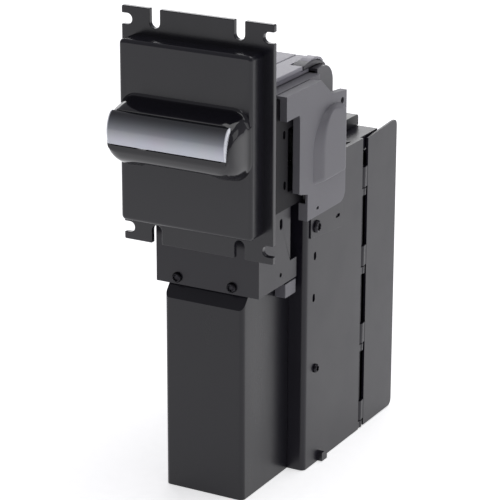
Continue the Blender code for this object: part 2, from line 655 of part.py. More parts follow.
drum_shaft = place(
    "drum_shaft",
    rod("X", DRUM_Y, DRUM_Z, DRUM_SHAFT_R, -CHASSIS_HALF - 0.5, GEAR_X + GEAR_T + 0.6),
    bright_steel, (0, DRUM_Y, DRUM_Z), None, True,
)
hub("drum_left", DRUM_Y, DRUM_Z, DRUM_R, DRUM_SHAFT_R + GAP, -BELT_X, DRUM_W, rubber, drum_shaft)
hub("drum_right", DRUM_Y, DRUM_Z, DRUM_R, DRUM_SHAFT_R + GAP, BELT_X, DRUM_W, rubber, drum_shaft)
front_shaft = place(
    "front_shaft",
    rod("X", PULLEY_Y, PULLEY_Z, FRONT_SHAFT_R, -CHASSIS_HALF - 0.5, CHASSIS_HALF + 0.5),
    bright_steel, (0, PULLEY_Y, PULLEY_Z), None, True,
)
hub("pulley_left", PULLEY_Y, PULLEY_Z, PULLEY_R, FRONT_SHAFT_R + GAP, -BELT_X, DRUM_W, rubber, front_shaft)
hub("pulley_right", PULLEY_Y, PULLEY_Z, PULLEY_R, FRONT_SHAFT_R + GAP, BELT_X, DRUM_W, rubber, front_shaft)


def belt_loop(extra):
    """Outline round the pulley and the drum, a given distance outside them."""
    big = DRUM_R + extra
    small = PULLEY_R + extra
    dy = DRUM_Y - PULLEY_Y
    dz = DRUM_Z - PULLEY_Z
    tilt = math.degrees(math.atan2(dz, dy))
    lean = math.degrees(math.asin((big - small) / math.hypot(dy, dz)))
    top = tilt + 90.0 + lean
    low = tilt - 90.0 - lean
    drum_arc = circle(DRUM_Y, DRUM_Z, big, 18, low, top - low)
    pulley_arc = circle(PULLEY_Y, PULLEY_Z, small, 12, top, 360.0 - (top - low))
    return drum_arc + pulley_arc


for name, side in (("belt_left", -1), ("belt_right", 1)):
    x = side * BELT_X
    belt = place(name, prism(belt_loop(GAP + BELT_T), "X", x - BELT_W / 2, x + BELT_W / 2), belt_rubber,
                 smooth=True)
    cut(belt, prism(belt_loop(GAP), "X", x - BELT_W / 2 - 1, x + BELT_W / 2 + 1))

# Gears outside the right wall: the drum gear and the motor's pinion.
mesh_angle = PINION_ANGLE
drum_gear = place(
    "drum_gear",
    prism(gear(DRUM_Y, DRUM_Z, DRUM_TEETH, GEAR_MODULE, mesh_angle), "X", GEAR_X, GEAR_X + GEAR_T),
    gear_acetal, (GEAR_X, DRUM_Y, DRUM_Z), drum_shaft,
)
cut(drum_gear, rod("X", DRUM_Y, DRUM_Z, DRUM_SHAFT_R + GAP, GEAR_X - 1, GEAR_X + GEAR_T + 1, 20))
pinion_phase = mesh_angle + 180.0 + 180.0 / PINION_TEETH
pinion = place(
    "motor_pinion",
    prism(gear(PINION_Y, PINION_Z, PINION_TEETH, GEAR_MODULE, pinion_phase), "X", GEAR_X, GEAR_X + GEAR_T),
    gear_acetal, (GEAR_X, PINION_Y, PINION_Z),
)
join(pinion, rod("X", PINION_Y, PINION_Z, 1.2, PATH_HALF + 0.2, GEAR_X + 1.0, 16))
motor = place(
    "drive_motor",
    rod("X", PINION_Y, PINION_Z, MOTOR_R, PATH_HALF - GAP - MOTOR_T, PATH_HALF - GAP, 32),
    bright_steel, smooth=True,
)
join(motor, rod("X", PINION_Y, PINION_Z, 3.4, PATH_HALF - GAP - MOTOR_T - 1.2, PATH_HALF - 2, 20))

# Sensor board under the path, between the belts.
sensor_half = BELT_X - BELT_W / 2 - 1.5
lower_sensor = place(
    "lower_sensor_board",
    box(-sensor_half, sensor_half, PULLEY_Y + 12, DRUM_Y - 20, floor_low - 2.6, floor_low - 1.2),
    board_green,
)
for x in (-0.6, 0.0, 0.6):
    join(lower_sensor, box(x * sensor_half - 2, x * sensor_half + 2, PULLEY_Y + 24, PULLEY_Y + 28,
                           floor_low - 1.6, floor_low - GAP))


# ================================================================ upper unit
# Upper half of the note path. It swings up on a pin behind the flange to clear a jam, and
# carries the pinch rollers, a sensor board, the top cover, the rear elbow and its latch.
guide_z = PATH_Z + PATH_OPEN
pivot = (0, UPPER_PIVOT_Y, UPPER_PIVOT_Z)
upper = place(
    "upper_housing",
    box(-UPPER_HALF, UPPER_HALF, UPPER_FRONT, UPPER_REAR, guide_z, UPPER_TOP),
    cover_grey, pivot,
)
cut(upper, box(-UPPER_HALF + UPPER_WALL, UPPER_HALF - UPPER_WALL, UPPER_FRONT + UPPER_WALL,
               UPPER_REAR - UPPER_WALL, guide_z + UPPER_WALL, UPPER_TOP - UPPER_WALL))
cut(upper, box(-TOP_HALF + 3, TOP_HALF - 3, UPPER_FRONT + 8, UPPER_REAR - UPPER_WALL,
               UPPER_TOP - UPPER_WALL - 1, UPPER_TOP + 1))
for side in (-1, 1):
    lo, hi = (TOP_HALF + 0.6, UPPER_HALF) if side > 0 else (-UPPER_HALF, -TOP_HALF - 0.6)
    ear = [(UPPER_FRONT, UPPER_TOP - 1), (UPPER_FRONT + 9, UPPER_TOP - 1)]
    ear += circle(UPPER_PIVOT_Y, UPPER_PIVOT_Z, 3.4, 8, 0.0, 180.0)
    join(upper, prism(ear, "X", lo, hi))
    cut(upper, rod("X", UPPER_PIVOT_Y, UPPER_PIVOT_Z, 1.5 + BORE_GAP, lo - 1, hi + 1, 16))
rear_pinch_y = DRUM_Y - 8.5
pinch_z = BELT_TOP + GAP + PINCH_R
for y in (PULLEY_Y, rear_pinch_y):
    groove = BELT_X + BELT_W / 2 + 5
    cut(upper, box(-groove, groove, y - PINCH_SHAFT_R - 0.4, y + PINCH_SHAFT_R + 0.4,
                   pinch_z - PINCH_SHAFT_R - 0.4, guide_z + UPPER_WALL + 0.5))
    for side in (-1, 1):
        x = side * BELT_X
        cut(upper, box(x - BELT_W / 2 - 0.8, x + BELT_W / 2 + 0.8, y - 6.5, y + 6.5, guide_z - 1,
                       guide_z + UPPER_WALL + 1))
        hanger = side * (BELT_X + BELT_W / 2 + 3.0)
        lo, hi = hanger - 1.0, hanger + 1.0
        block = prism([(y - 3.5, guide_z + 1), (y + 3.5, guide_z + 1), (y + 3.5, pinch_z + 3.4),
                       (y - 3.5, pinch_z + 3.4)], "X", lo, hi)
        join(upper, block)
        cut(upper, rod("X", y, pinch_z, PINCH_SHAFT_R + BORE_GAP, lo - 1, hi + 1, 16))

for tag, y in (("front", PULLEY_Y), ("rear", rear_pinch_y)):
    shaft = place(
        f"pinch_shaft_{tag}",
        rod("X", y, pinch_z, PINCH_SHAFT_R, -BELT_X - BELT_W / 2 - 4.5, BELT_X + BELT_W / 2 + 4.5, 16),
        bright_steel, (0, y, pinch_z), upper, True,
    )
    for word, side in (("left", -1), ("right", 1)):
        hub(f"pinch_roller_{tag}_{word}", y, pinch_z, PINCH_R, PINCH_SHAFT_R + GAP, side * BELT_X,
            BELT_W - 0.6, rubber, shaft)

upper_sensor = place(
    "upper_sensor_board",
    box(-22, 22, PULLEY_Y + 14, rear_pinch_y - 12, guide_z + UPPER_WALL + GAP + 4,
        guide_z + UPPER_WALL + GAP + 5.4),
    board_green, pivot, upper,
)
for x, y in ((-16, 34), (16, 34), (-16, 60), (16, 60)):
    join(upper_sensor, rod("Z", x, y, 1.6, guide_z + UPPER_WALL + GAP, guide_z + UPPER_WALL + GAP + 4.6, 12))

# Top cover: a light grey tray turned over, its edge standing out over an undercut.
latch_in = TOP_HALF - 8.5
latch_front = DRUM_Y - 12.0
top_base = UPPER_TOP + GAP
top_cover = place(
    "upper_top_cover",
    box(-TOP_HALF + TOP_STEP, TOP_HALF - TOP_STEP, UPPER_FRONT, UPPER_REAR, top_base, TOP_Z - 1.0),
    top_grey, pivot, upper,
)
join(top_cover, box(-TOP_HALF, TOP_HALF, UPPER_FRONT, TOP_REAR, TOP_Z - 2.6, TOP_Z))
cut(top_cover, box(-TOP_HALF + 3.5, TOP_HALF - 3.5, UPPER_FRONT + 2, UPPER_REAR - 2, top_base - 1,
                   TOP_Z - 2.6))
cut(top_cover, box(latch_in, TOP_HALF + 1, latch_front, TOP_REAR + 1, TOP_Z - 3.6, TOP_Z + 1))
cut(top_cover, box(10.5, 11.5, UPPER_FRONT - 1, TOP_REAR + 1, TOP_Z - 0.6, TOP_Z + 1))
cut(top_cover, box(-11.5, -10.5, UPPER_FRONT - 1, TOP_REAR + 1, TOP_Z - 0.6, TOP_Z + 1))

# Elbow: outer guide of the turn behind the drums, with a rounded skin outside it.
elbow_half = PATH_HALF - 2.5
elbow_top = TOP_Z - 3.4
skin_r = 11.5
skin_y = ELBOW_REAR - skin_r
skin_z = elbow_top - skin_r
elbow_front = UPPER_REAR + GAP
elbow_low = STACKER_H + 3.5
outer = [(ELBOW_REAR, elbow_low), (ELBOW_REAR, skin_z)] + circle(skin_y, skin_z, skin_r, 7, 0.0, 90.0)
outer += [(elbow_front, elbow_top), (elbow_front, DRUM_Z + ELBOW_R)]
outer += list(reversed(circle(DRUM_Y, DRUM_Z, ELBOW_R, 12, 0.0, 90.0)))
outer += [(DRUM_Y + ELBOW_R, elbow_low)]
elbow = place("rear_elbow", prism(outer, "X", -elbow_half, elbow_half), elbow_grey, pivot, upper, True)
hollow_r = ELBOW_R + ELBOW_WALL
rise = math.degrees(math.acos(ELBOW_R / hollow_r))
core = circle(skin_y, skin_z, skin_r - ELBOW_WALL, 7, 0.0, 90.0)
core += [(elbow_front + ELBOW_WALL, elbow_top - ELBOW_WALL)]
front_turn = math.degrees(math.acos((elbow_front + ELBOW_WALL - DRUM_Y) / hollow_r))
core += list(reversed(circle(DRUM_Y, DRUM_Z, hollow_r, 10, rise, front_turn - rise)))
cut(elbow, prism(core, "X", -elbow_half - 1, elbow_half - ELBOW_WALL))

# Latch: a sprung lever that lies along the top and hooks down behind the elbow.
latch_low = elbow_top + 0.6
lever = [(latch_front + 1, latch_low), (skin_y, latch_low)]
lever += list(reversed(circle(skin_y, skin_z, skin_r + 0.6, 7, 8.0, 82.0)))
lever += circle(skin_y, skin_z, skin_r + 2.4, 7, 8.0, 72.0)
lever += [(skin_y - 3, TOP_Z + 0.9), (skin_y - 14, TOP_Z + 0.9), (latch_front + 1, TOP_Z - 0.4)]
latch_pivot = (0, latch_front + 4, latch_low + 1.4)
place("upper_latch", prism(lever, "X", latch_in + 0.5, TOP_HALF), elbow_grey, latch_pivot, upper, True)


# ================================================================ bracket and front box
# Bent sheet-steel bracket that carries the head, open at the rear and below.
bracket = place(
    "lower_bracket",
    box(-BRACKET_HALF, BRACKET_HALF, BRACKET_FRONT, BRACKET_REAR_LOW, BRACKET_BOTTOM, BRACKET_TOP),
    black_steel,
)
inner = BRACKET_HALF - BRACKET_T
cut(bracket, box(-inner, inner, BRACKET_FRONT + BRACKET_T, BRACKET_REAR_LOW + 1, BRACKET_BOTTOM - 1,
                 BRACKET_TOP - BRACKET_T))
cut(bracket, box(-inner + 9, inner - 9, BRACKET_FRONT + BRACKET_T, BRACKET_REAR_LOW + 1,
                 BRACKET_TOP - BRACKET_T - 1, BRACKET_TOP + 1))
cut(bracket, box(-BRACKET_HALF - 1, BRACKET_HALF + 1, BRACKET_REAR_HIGH, BRACKET_REAR_LOW + 1,
                 BRACKET_BOTTOM + 12.5, BRACKET_TOP + 1))
cut(bracket, prism(slot(37.5, BRACKET_BOTTOM + 38.0, 3.2, 1.6), "X", -BRACKET_HALF - 1, BRACKET_HALF + 1))
cut(bracket, rod("X", 37.4, BRACKET_BOTTOM + 6.8, 1.3, -BRACKET_HALF - 1, BRACKET_HALF + 1, 12))
screw_z = BRACKET_BOTTOM + 4.4
screw_places = (("bracket_screw_left", -20.0), ("bracket_screw_right", 16.6))
for name, x in screw_places:
    cut(bracket, rod("Y", x, screw_z, 1.9, BRACKET_FRONT - 1, BRACKET_FRONT + BRACKET_T + 1, 16))
    screw = place(name, rod("Y", x, screw_z, SCREW_R, BRACKET_FRONT - 2.4, BRACKET_FRONT - GAP, 16),
                  dark_screw, smooth=True)
    join(screw, rod("Y", x, screw_z, 1.5, BRACKET_FRONT - 1, BRACKET_FRONT + 5.5, 12))

# Connector housing under the right side of the bracket.
connector = place(
    "side_connector",
    box(BOX_HALF + GAP, BRACKET_HALF - 0.4, 44.0, BRACKET_REAR_LOW, BRACKET_BOTTOM - 10.0,
        BRACKET_BOTTOM - 1.2),
    connector_grey,
)
cut(connector, box(BOX_HALF + 1.6, BRACKET_HALF - 1.6, 45.7, BRACKET_REAR_LOW - 1.6,
                   BRACKET_BOTTOM - 11.0, BRACKET_BOTTOM - 4.0))

# Front box: a moulded cover over the power supply, hung from the bracket's front wall by
# a tab behind it and closed at the rear by the stacker.
box_rear = STACKER_FRONT - GAP
lower_box = place(
    "lower_box",
    prism(rounded(-BOX_HALF, BOX_HALF, BOX_FRONT, box_rear, (BOX_ROUND, BOX_ROUND, 0, 0)), "Z", 0, BOX_TOP),
    black_abs,
)
tab_front = BRACKET_FRONT + BRACKET_T + GAP
slope = [(BOX_FRONT - 1, BOX_TOP - BOX_SHOULDER), (BOX_FRONT, BOX_TOP - BOX_SHOULDER), (tab_front, BOX_TOP),
         (tab_front, BOX_TOP + 1), (BOX_FRONT - 1, BOX_TOP + 1)]
cut(lower_box, prism(slope, "X", -BOX_HALF - 1, BOX_HALF + 1))
box_in = BOX_HALF - BOX_WALL
hollow = [(BOX_FRONT + BOX_WALL, BOX_WALL), (box_rear + 1, BOX_WALL), (box_rear + 1, BOX_TOP - BOX_WALL),
          (tab_front + BOX_WALL, BOX_TOP - BOX_WALL), (BOX_FRONT + BOX_WALL,
                                                       BOX_TOP - BOX_SHOULDER - BOX_WALL)]
cut(lower_box, prism(hollow, "X", -box_in, box_in))
join(lower_box, box(-BOX_HALF + 2, BOX_HALF - 2, tab_front, tab_front + BOX_WALL, BOX_TOP - 1, screw_z + 5))
for name, x in screw_places:
    cut(lower_box, rod("Y", x, screw_z, 1.9, tab_front - 1, tab_front + BOX_WALL + 1, 16))

power_board = place(
    "power_board",
    box(-box_in + GAP, box_in - GAP, 38.0, 39.6, BOX_WALL + GAP, BOX_TOP - 16),
    board_green,
)
for x, z, r, h in ((-12, 90, 5, 14), (4, 94, 4, 11)):
    join(power_board, rod("Y", x, z, r, 38.5 - h, 38.5, 16))
place(
    "power_transformer",
    box(-15, 15, 14.0, 38.0 - GAP, 18, 56),
    copper_varnish,
)


# ================================================================ stacker
# Black steel box, open at the rear, with the pusher in front and the magazine behind.
# Its left wall, top and base run back to the door; on the right the hinge fills the gap.
rim_x = PIN_X - KNUCKLE_R - 1.5
rim_rear = DOOR_FRONT - RIM_GAP
plan = rounded(-STACKER_HALF, STACKER_HALF, STACKER_FRONT, STACKER_REAR, (STACKER_ROUND, STACKER_ROUND, 0, 0))
plan = plan[:-1] + [(rim_x, STACKER_REAR), (rim_x, rim_rear), (-STACKER_HALF, rim_rear)]
stacker = place("stacker_body", prism(plan, "Z", 0, STACKER_H), black_steel)
cut(stacker, box(-STACKER_INNER, STACKER_INNER, STACKER_FRONT + STACKER_WALL, rim_rear + 1,
                 STACKER_WALL, STACKER_H - STACKER_WALL))
cut(stacker, box(-STACKER_INNER, STACKER_INNER, STACKER_FRONT + STACKER_WALL + 0.9, COVER_REAR,
                 STACKER_H - STACKER_WALL - 1, STACKER_H + 1))
# the top runs on between the door's sides, turned down on the right over the hinge, with
# a notch for the release's hook
tongue_rear = DOOR_FRONT + TONGUE_D
tongue_right = STACKER_HALF - DOOR_WALL - 0.8
join(stacker, box(-STACKER_HALF + 6.8, tongue_right, rim_rear - 1, tongue_rear,
                  STACKER_H - STACKER_WALL + 0.02, STACKER_H - 0.02))
join(stacker, box(rim_x - 1, tongue_right, STACKER_REAR - 1, rim_rear + 1,
                  STACKER_H - STACKER_WALL + 0.02, STACKER_H - 0.02))
join(stacker, box(tongue_right - 1.6, tongue_right - 0.04, STACKER_REAR + 0.5, tongue_rear - 0.5,
                  STACKER_H - LID_DROP + 0.7, STACKER_H - 0.5))
cut(stacker, box(9.0, 17.0, tongue_rear - 5.0, tongue_rear + 1, STACKER_H - STACKER_WALL - 1, STACKER_H + 1))
# room for the gears in the right wall, hidden by the side cover
cut(stacker, box(STACKER_INNER - 1, STACKER_HALF + 1, PINION_Y - 7.5, DRUM_Y + DRUM_GEAR_R + 4,
                 PINION_Z - 7.5, STACKER_H + 1))
plate_screw_y = 73.6
plate_screw_z = STACKER_H - 38.2
low_screw_y = 75.7
low_screw_z = STACKER_H - 129.5
for side in (-1, 1):
    lo, hi = (STACKER_INNER - 1, STACKER_HALF + 1) if side > 0 else (-STACKER_HALF - 1, -STACKER_INNER + 1)
    for y, z in ((72.8, STACKER_H - 83.4), (73.9, STACKER_H - 57.1)):
        cut(stacker, prism(slot(y, z, 2.6, 1.5), "X", lo, hi))
    cut(stacker, rod("X", plate_screw_y, plate_screw_z, 1.9, lo, hi, 16))
    cut(stacker, rod("X", low_screw_y, low_screw_z, 1.9, lo, hi, 16))
    # notch in the front wall for the lower run of a belt
    x = side * BELT_X
    cut(stacker, box(x - BELT_W / 2 - 1, x + BELT_W / 2 + 1, STACKER_FRONT - 1,
                     STACKER_FRONT + STACKER_WALL + 1,
                     STACKER_H - 3.0, STACKER_H + 1))
# vent slot in the top behind the head, and the stop tab bent out at the foot
tri = [(STACKER_HALF - 8.6, 118.5), (STACKER_HALF - 3.0, 118.5), (STACKER_HALF - 3.0, 126.0)]
cut(stacker, prism(tri, "Z", STACKER_H - STACKER_WALL - 1, STACKER_H + 1))
join(stacker, prism([(80.7, 0.0), (87.4, 0.0), (87.4, 3.0), (84.0, 5.6), (80.7, 5.6)], "X",
                    STACKER_HALF - 1.0, STACKER_HALF + 3.0))

knuckle_feet = [STACKER_H * share - 1.3 for share in KNUCKLE_SHARES]
for foot in knuckle_feet:
    low = foot - 0.5 - STACKER_KNUCKLE_H
    leaf = box(STACKER_INNER + 0.1, STACKER_HALF - 0.1, STACKER_REAR - 1, PIN_Y, low, low + STACKER_KNUCKLE_H)
    join(stacker, leaf)
    join(stacker, rod("Z", PIN_X, PIN_Y, KNUCKLE_R, low, low + STACKER_KNUCKLE_H, 16))
    cut(stacker, rod("Z", PIN_X, PIN_Y, HINGE_PIN_R + BORE_GAP, low - 1, low + STACKER_KNUCKLE_H + 1, 16))
pin_low = knuckle_feet[0] - 0.5 - STACKER_KNUCKLE_H
place("door_hinge_pin", rod("Z", PIN_X, PIN_Y, HINGE_PIN_R, pin_low, knuckle_feet[-1] + KNUCKLE_H + 1.0, 16),
      bright_steel, smooth=True)

# Stiffening plates on the sides, held by a large screw, and small screws lower down.
for tag, side in (("right", 1), ("left", -1)):
    lo, hi = STACKER_HALF + 0.15, STACKER_HALF + 0.15 + SIDE_PLATE_T
    span = (lo, hi) if side > 0 else (-hi, -lo)
    outline = [(66.5, STACKER_H - 44.2), (107.5, STACKER_H - 48.0), (107.5, STACKER_H - 20.0),
               (66.5, STACKER_H - 20.0)]
    plate = place(f"side_plate_{tag}", prism(outline, "X", *span), black_steel)
    reach = (lo - 1, hi + 1) if side > 0 else (-hi - 1, -lo + 1)
    cut(plate, rod("X", plate_screw_y, plate_screw_z, 1.9, *reach, 16))
    cut(plate, prism(slot(101.5, STACKER_H - 39.4, 2.6, 1.0, False), "X", *reach))
    for word, y, z, r, face in (("upper", plate_screw_y, plate_screw_z, 3.9, hi),
                                ("lower", low_screw_y, low_screw_z, 2.8, STACKER_HALF)):
        head = (face + 0.15, face + 2.0)
        shank = (STACKER_INNER - 3.0, face + 1.0)
        if side < 0:
            head = (-head[1], -head[0])
            shank = (-shank[1], -shank[0])
        screw = place(f"side_screw_{word}_{tag}", rod("X", y, z, r, *head, 16), dark_screw, smooth=True)
        join(screw, rod("X", y, z, 1.5, *shank, 12))

# Rails that hold back the edges of the stacked notes.
for tag, side in (("left", -1), ("right", 1)):
    lo, hi = STACKER_INNER - GAP - RAIL_W, STACKER_INNER - GAP
    span = (lo, hi) if side > 0 else (-hi, -lo)
    rail = place(f"magazine_rail_{tag}", box(*span, RAIL_Y, RAIL_Y + RAIL_D, 4.0, STACKER_H - 6.0),
                 black_steel)
    trim = (lo - 1, hi - 1.2) if side > 0 else (-hi + 1.2, -lo + 1)
    cut(rail, box(*trim, RAIL_Y + 1.2, RAIL_Y + RAIL_D - 1.2, 3.0, STACKER_H - 5.0))

# Pusher plate with two racks, driven by pinions on one cross shaft.
pusher_half = STACKER_INNER - GAP - RAIL_W - 2.6
pusher_low = STACKER_H * 0.11
pusher_high = STACKER_H * 0.83
rack_z = PUSHER_SHAFT_Z + PUSHER_R + 0.08
pusher = place(
    "pusher_plate",
    box(-pusher_half, pusher_half, PUSHER_Y - PUSHER_T, PUSHER_Y, pusher_low, pusher_high),
    black_abs, (0, PUSHER_Y, rack_z),
)
pitch = math.pi * GEAR_MODULE
rack_rear = PUSHER_Y - PUSHER_T + 0.5
rack_front = STACKER_FRONT + STACKER_WALL + 2.4
profile = [(rack_rear, rack_z + GEAR_MODULE * 1.2)]
tooth_y = PUSHER_SHAFT_Y + pitch * int((rack_rear - 3.0 - PUSHER_SHAFT_Y) / pitch)
while tooth_y > rack_front + pitch:
    for share, drop in ((0.34, 1.2), (0.11, -0.95), (-0.11, -0.95), (-0.34, 1.2)):
        profile.append((tooth_y + share * pitch, rack_z + GEAR_MODULE * drop))
    tooth_y -= pitch
profile += [(rack_front, rack_z + GEAR_MODULE * 1.2), (rack_front, rack_z + 4.2), (rack_rear, rack_z + 4.2)]
for side in (-1, 1):
    x = side * RACK_X
    join(pusher, prism(profile, "X", x - RACK_W / 2, x + RACK_W / 2))

pusher_shaft = place(
    "pusher_shaft",
    rod("X", PUSHER_SHAFT_Y, PUSHER_SHAFT_Z, PUSHER_SHAFT_R, -STACKER_INNER + 20.0, STACKER_INNER - 0.6, 20),
    gear_acetal, (0, PUSHER_SHAFT_Y, PUSHER_SHAFT_Z),
)
pusher_phase = 90.0 + 180.0 / PUSHER_TEETH
for side in (-1, 1):
    x = side * RACK_X
    join(pusher_shaft, prism(gear(PUSHER_SHAFT_Y, PUSHER_SHAFT_Z, PUSHER_TEETH, GEAR_MODULE, pusher_phase,
                                  0.42),
                             "X", x - RACK_W / 2 - 0.5, x + RACK_W / 2 + 0.5))
stack_motor = place(
    "stack_motor",
    rod("X", PUSHER_SHAFT_Y, PUSHER_SHAFT_Z, 12.0, -STACKER_INNER + GAP, -STACKER_INNER + 18.0, 28),
    bright_steel, smooth=True,
)
join(stack_motor, rod("X", PUSHER_SHAFT_Y, PUSHER_SHAFT_Z, 5.0, -STACKER_INNER + 16.0,
                      -STACKER_INNER + 19.5, 20))


# ================================================================ rear door
# Deep steel tray, hinged on the right, that closes the magazine. It carries the sprung
# pressure plate which the notes are stacked against.
pin = (PIN_X, PIN_Y, 0)
door = place(
    "rear_door",
    prism(rounded(DOOR_FRONT, DOOR_REAR, DOOR_LIFT, DOOR_TOP, (0, DOOR_ROUND, DOOR_ROUND, 0)), "X",
          -STACKER_HALF, STACKER_HALF),
    black_steel, pin,
)
door_in = STACKER_HALF - DOOR_WALL
cut(door, box(-door_in, door_in, DOOR_FRONT - 1, DOOR_REAR - DOOR_WALL, DOOR_LIFT + DOOR_WALL,
              STACKER_H - LID_DROP - DOOR_WALL))
cut(door, box(-door_in, door_in, DOOR_FRONT - 1, DOOR_REAR + 1, STACKER_H - LID_DROP, DOOR_TOP + 1))
nick = [(DOOR_FRONT - 1, DOOR_TOP + 1), (DOOR_FRONT - 1, DOOR_TOP - 2.4), (DOOR_FRONT, DOOR_TOP - 2.4),
        (DOOR_REAR - 6, DOOR_TOP), (DOOR_REAR - 6, DOOR_TOP + 1)]
cut(door, prism(nick, "X", -STACKER_HALF - 1, STACKER_HALF + 1))
for foot in knuckle_feet:
    join(door, box(door_in + 0.1, STACKER_HALF - 0.1, PIN_Y, DOOR_FRONT + 1, foot, foot + KNUCKLE_H))
    join(door, rod("Z", PIN_X, PIN_Y, KNUCKLE_R, foot, foot + KNUCKLE_H, 16))
    cut(door, rod("Z", PIN_X, PIN_Y, HINGE_PIN_R + BORE_GAP, foot - 1, foot + KNUCKLE_H + 1, 16))

# Pressure plate: as narrow as it must be to swing out with the door.
swing = PIN_X + STACKER_INNER - 1.5
plate_left = math.sqrt(swing ** 2 - (PIN_Y - PRESSURE_Y) ** 2) - PIN_X
plate_half = min(plate_left, STACKER_INNER - 4.0)
plate_low = STACKER_H * 0.08
plate_high = STACKER_H * 0.88
pressure = place(
    "pressure_plate",
    box(-plate_half, plate_half, PRESSURE_Y, PRESSURE_Y + PRESSURE_T, plate_low, plate_high),
    black_abs, (0, PRESSURE_Y, 0), door,
)
spring_heights = (("pressure_spring_lower", STACKER_H * 0.27), ("pressure_spring_upper", STACKER_H * 0.69))
for name, z in spring_heights:
    cup = rod("Y", 0, z, SPRING_R + 2.4, PRESSURE_Y + PRESSURE_T - 0.5, PRESSURE_Y + PRESSURE_T + 3.0, 20)
    join(pressure, cup)
    cut(pressure, rod("Y", 0, z, SPRING_R + 1.2, PRESSURE_Y + PRESSURE_T, PRESSURE_Y + PRESSURE_T + 4.0, 20))


def spring(name, z):
    """Coil along Y between the plate and the door's rear wall."""
    y0 = PRESSURE_Y + PRESSURE_T + SPRING_WIRE_R + GAP
    y1 = DOOR_REAR - DOOR_WALL - SPRING_WIRE_R - GAP
    per_turn = 12
    rings = []
    bm = bmesh.new()
    steps = SPRING_TURNS * per_turn
    for i in range(steps + 1):
        angle = 2 * math.pi * i / per_turn
        centre = Vector((SPRING_R * math.cos(angle), y0 + (y1 - y0) * i / steps,
                         z + SPRING_R * math.sin(angle)))
        out = Vector((math.cos(angle), 0, math.sin(angle)))
        along = Vector((0, 1, 0))
        ring = []
        for k in range(6):
            turn = 2 * math.pi * k / 6
            aside = (out * math.cos(turn) + along * math.sin(turn)) * SPRING_WIRE_R
            ring.append(bm.verts.new(centre + aside))
        rings.append(ring)
    for near, far in zip(rings, rings[1:]):
        for k in range(6):
            j = (k + 1) % 6
            bm.faces.new((near[k], near[j], far[j], far[k]))
    bm.faces.new(rings[0])
    bm.faces.new(rings[-1])
    bmesh.ops.recalc_face_normals(bm, faces=bm.faces)
    place(name, bm, bright_steel, (0, y1, z), door, True)


for name, z in spring_heights:
    spring(name, z)

# Door release: a sprung slide on the rear edge of the stacker's top, pushed forward to
# free the door. Its hook goes down through the notch towards the door's tray.
release_front = tongue_rear - 16.0
release_rear = tongue_rear + 0.6
release_low = STACKER_H + GAP
release = place(
    "door_release",
    prism(rounded(release_front, release_rear, release_low, release_low + 7.0, (0, 0, 2.2, 1.0), 4), "X",
          4.0, 22.0),
    black_abs, (13.0, release_front, release_low),
)
join(release, box(10.0, 16.0, release_rear - 1.8, release_rear - 0.2, STACKER_H - LID_DROP + 1.2,
                  release_low + 1.0))
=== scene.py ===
import math

import bmesh
import bpy
from mathutils import Matrix, Vector


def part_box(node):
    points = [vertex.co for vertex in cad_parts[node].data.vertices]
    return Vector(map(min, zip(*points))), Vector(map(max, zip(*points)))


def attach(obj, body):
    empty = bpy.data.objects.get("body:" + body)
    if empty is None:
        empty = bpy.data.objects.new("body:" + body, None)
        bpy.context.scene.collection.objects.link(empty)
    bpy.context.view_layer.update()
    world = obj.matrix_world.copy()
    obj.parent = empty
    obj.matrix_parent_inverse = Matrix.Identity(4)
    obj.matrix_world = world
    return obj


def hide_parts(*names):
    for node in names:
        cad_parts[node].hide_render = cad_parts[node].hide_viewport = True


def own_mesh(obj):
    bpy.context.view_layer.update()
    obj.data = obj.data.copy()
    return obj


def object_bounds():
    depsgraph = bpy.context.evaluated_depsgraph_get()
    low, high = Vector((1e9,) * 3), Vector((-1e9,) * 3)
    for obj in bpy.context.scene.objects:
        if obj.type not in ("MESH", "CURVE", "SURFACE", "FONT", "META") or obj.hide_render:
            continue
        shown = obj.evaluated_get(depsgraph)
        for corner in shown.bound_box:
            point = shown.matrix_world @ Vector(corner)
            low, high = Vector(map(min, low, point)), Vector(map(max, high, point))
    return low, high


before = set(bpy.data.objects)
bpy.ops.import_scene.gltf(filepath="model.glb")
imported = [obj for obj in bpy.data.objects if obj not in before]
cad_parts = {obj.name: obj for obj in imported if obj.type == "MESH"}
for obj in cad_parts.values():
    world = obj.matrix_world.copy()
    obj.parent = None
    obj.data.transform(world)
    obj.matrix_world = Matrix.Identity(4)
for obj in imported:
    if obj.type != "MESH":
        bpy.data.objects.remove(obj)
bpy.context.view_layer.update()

# ------------------------------------------------------------------ studio
# The validator stands on a lit white table in a dim tent, which its upright faces mirror.
# A broad softbox hangs over it, a panel behind it is mirrored by the tops, and a weak one
# stands at its right, as small machine parts are shown.
# The lens is a long one, so that upright edges stay nearly parallel.
FLANGE_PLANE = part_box("bezel")[1].y - 0.0033


def place(x, y, z):
    """Millimetres from the flange's front plane and the base, as a point of the frame."""
    return Vector((x * 0.001, FLANGE_PLANE + y * 0.001, z * 0.001))


def linear(hexed, alpha=1.0):
    channels = [int(hexed[i:i + 2], 16) / 255 for i in (1, 3, 5)]
    return (*[c / 12.92 if c <= 0.04045 else ((c + 0.055) / 1.055) ** 2.4 for c in channels], alpha)


def node(tree, kind, settings=None, links=None):
    """Adds a node: settings by socket or property name, links from socket name to an output."""
    made = tree.nodes.new(kind)
    for key, value in (settings or {}).items():
        if isinstance(key, int) or key in made.inputs:
            made.inputs[key].default_value = value
        else:
            setattr(made, key, value)
    for key, source in (links or {}).items():
        tree.links.new(source, made.inputs[key])
    return made


def finish_of(name):
    """A new material with only its output, ready for a shader."""
    made = bpy.data.materials.new(name)
    made.use_nodes = True
    made.node_tree.nodes.clear()
    return made, made.node_tree, node(made.node_tree, "ShaderNodeOutputMaterial")


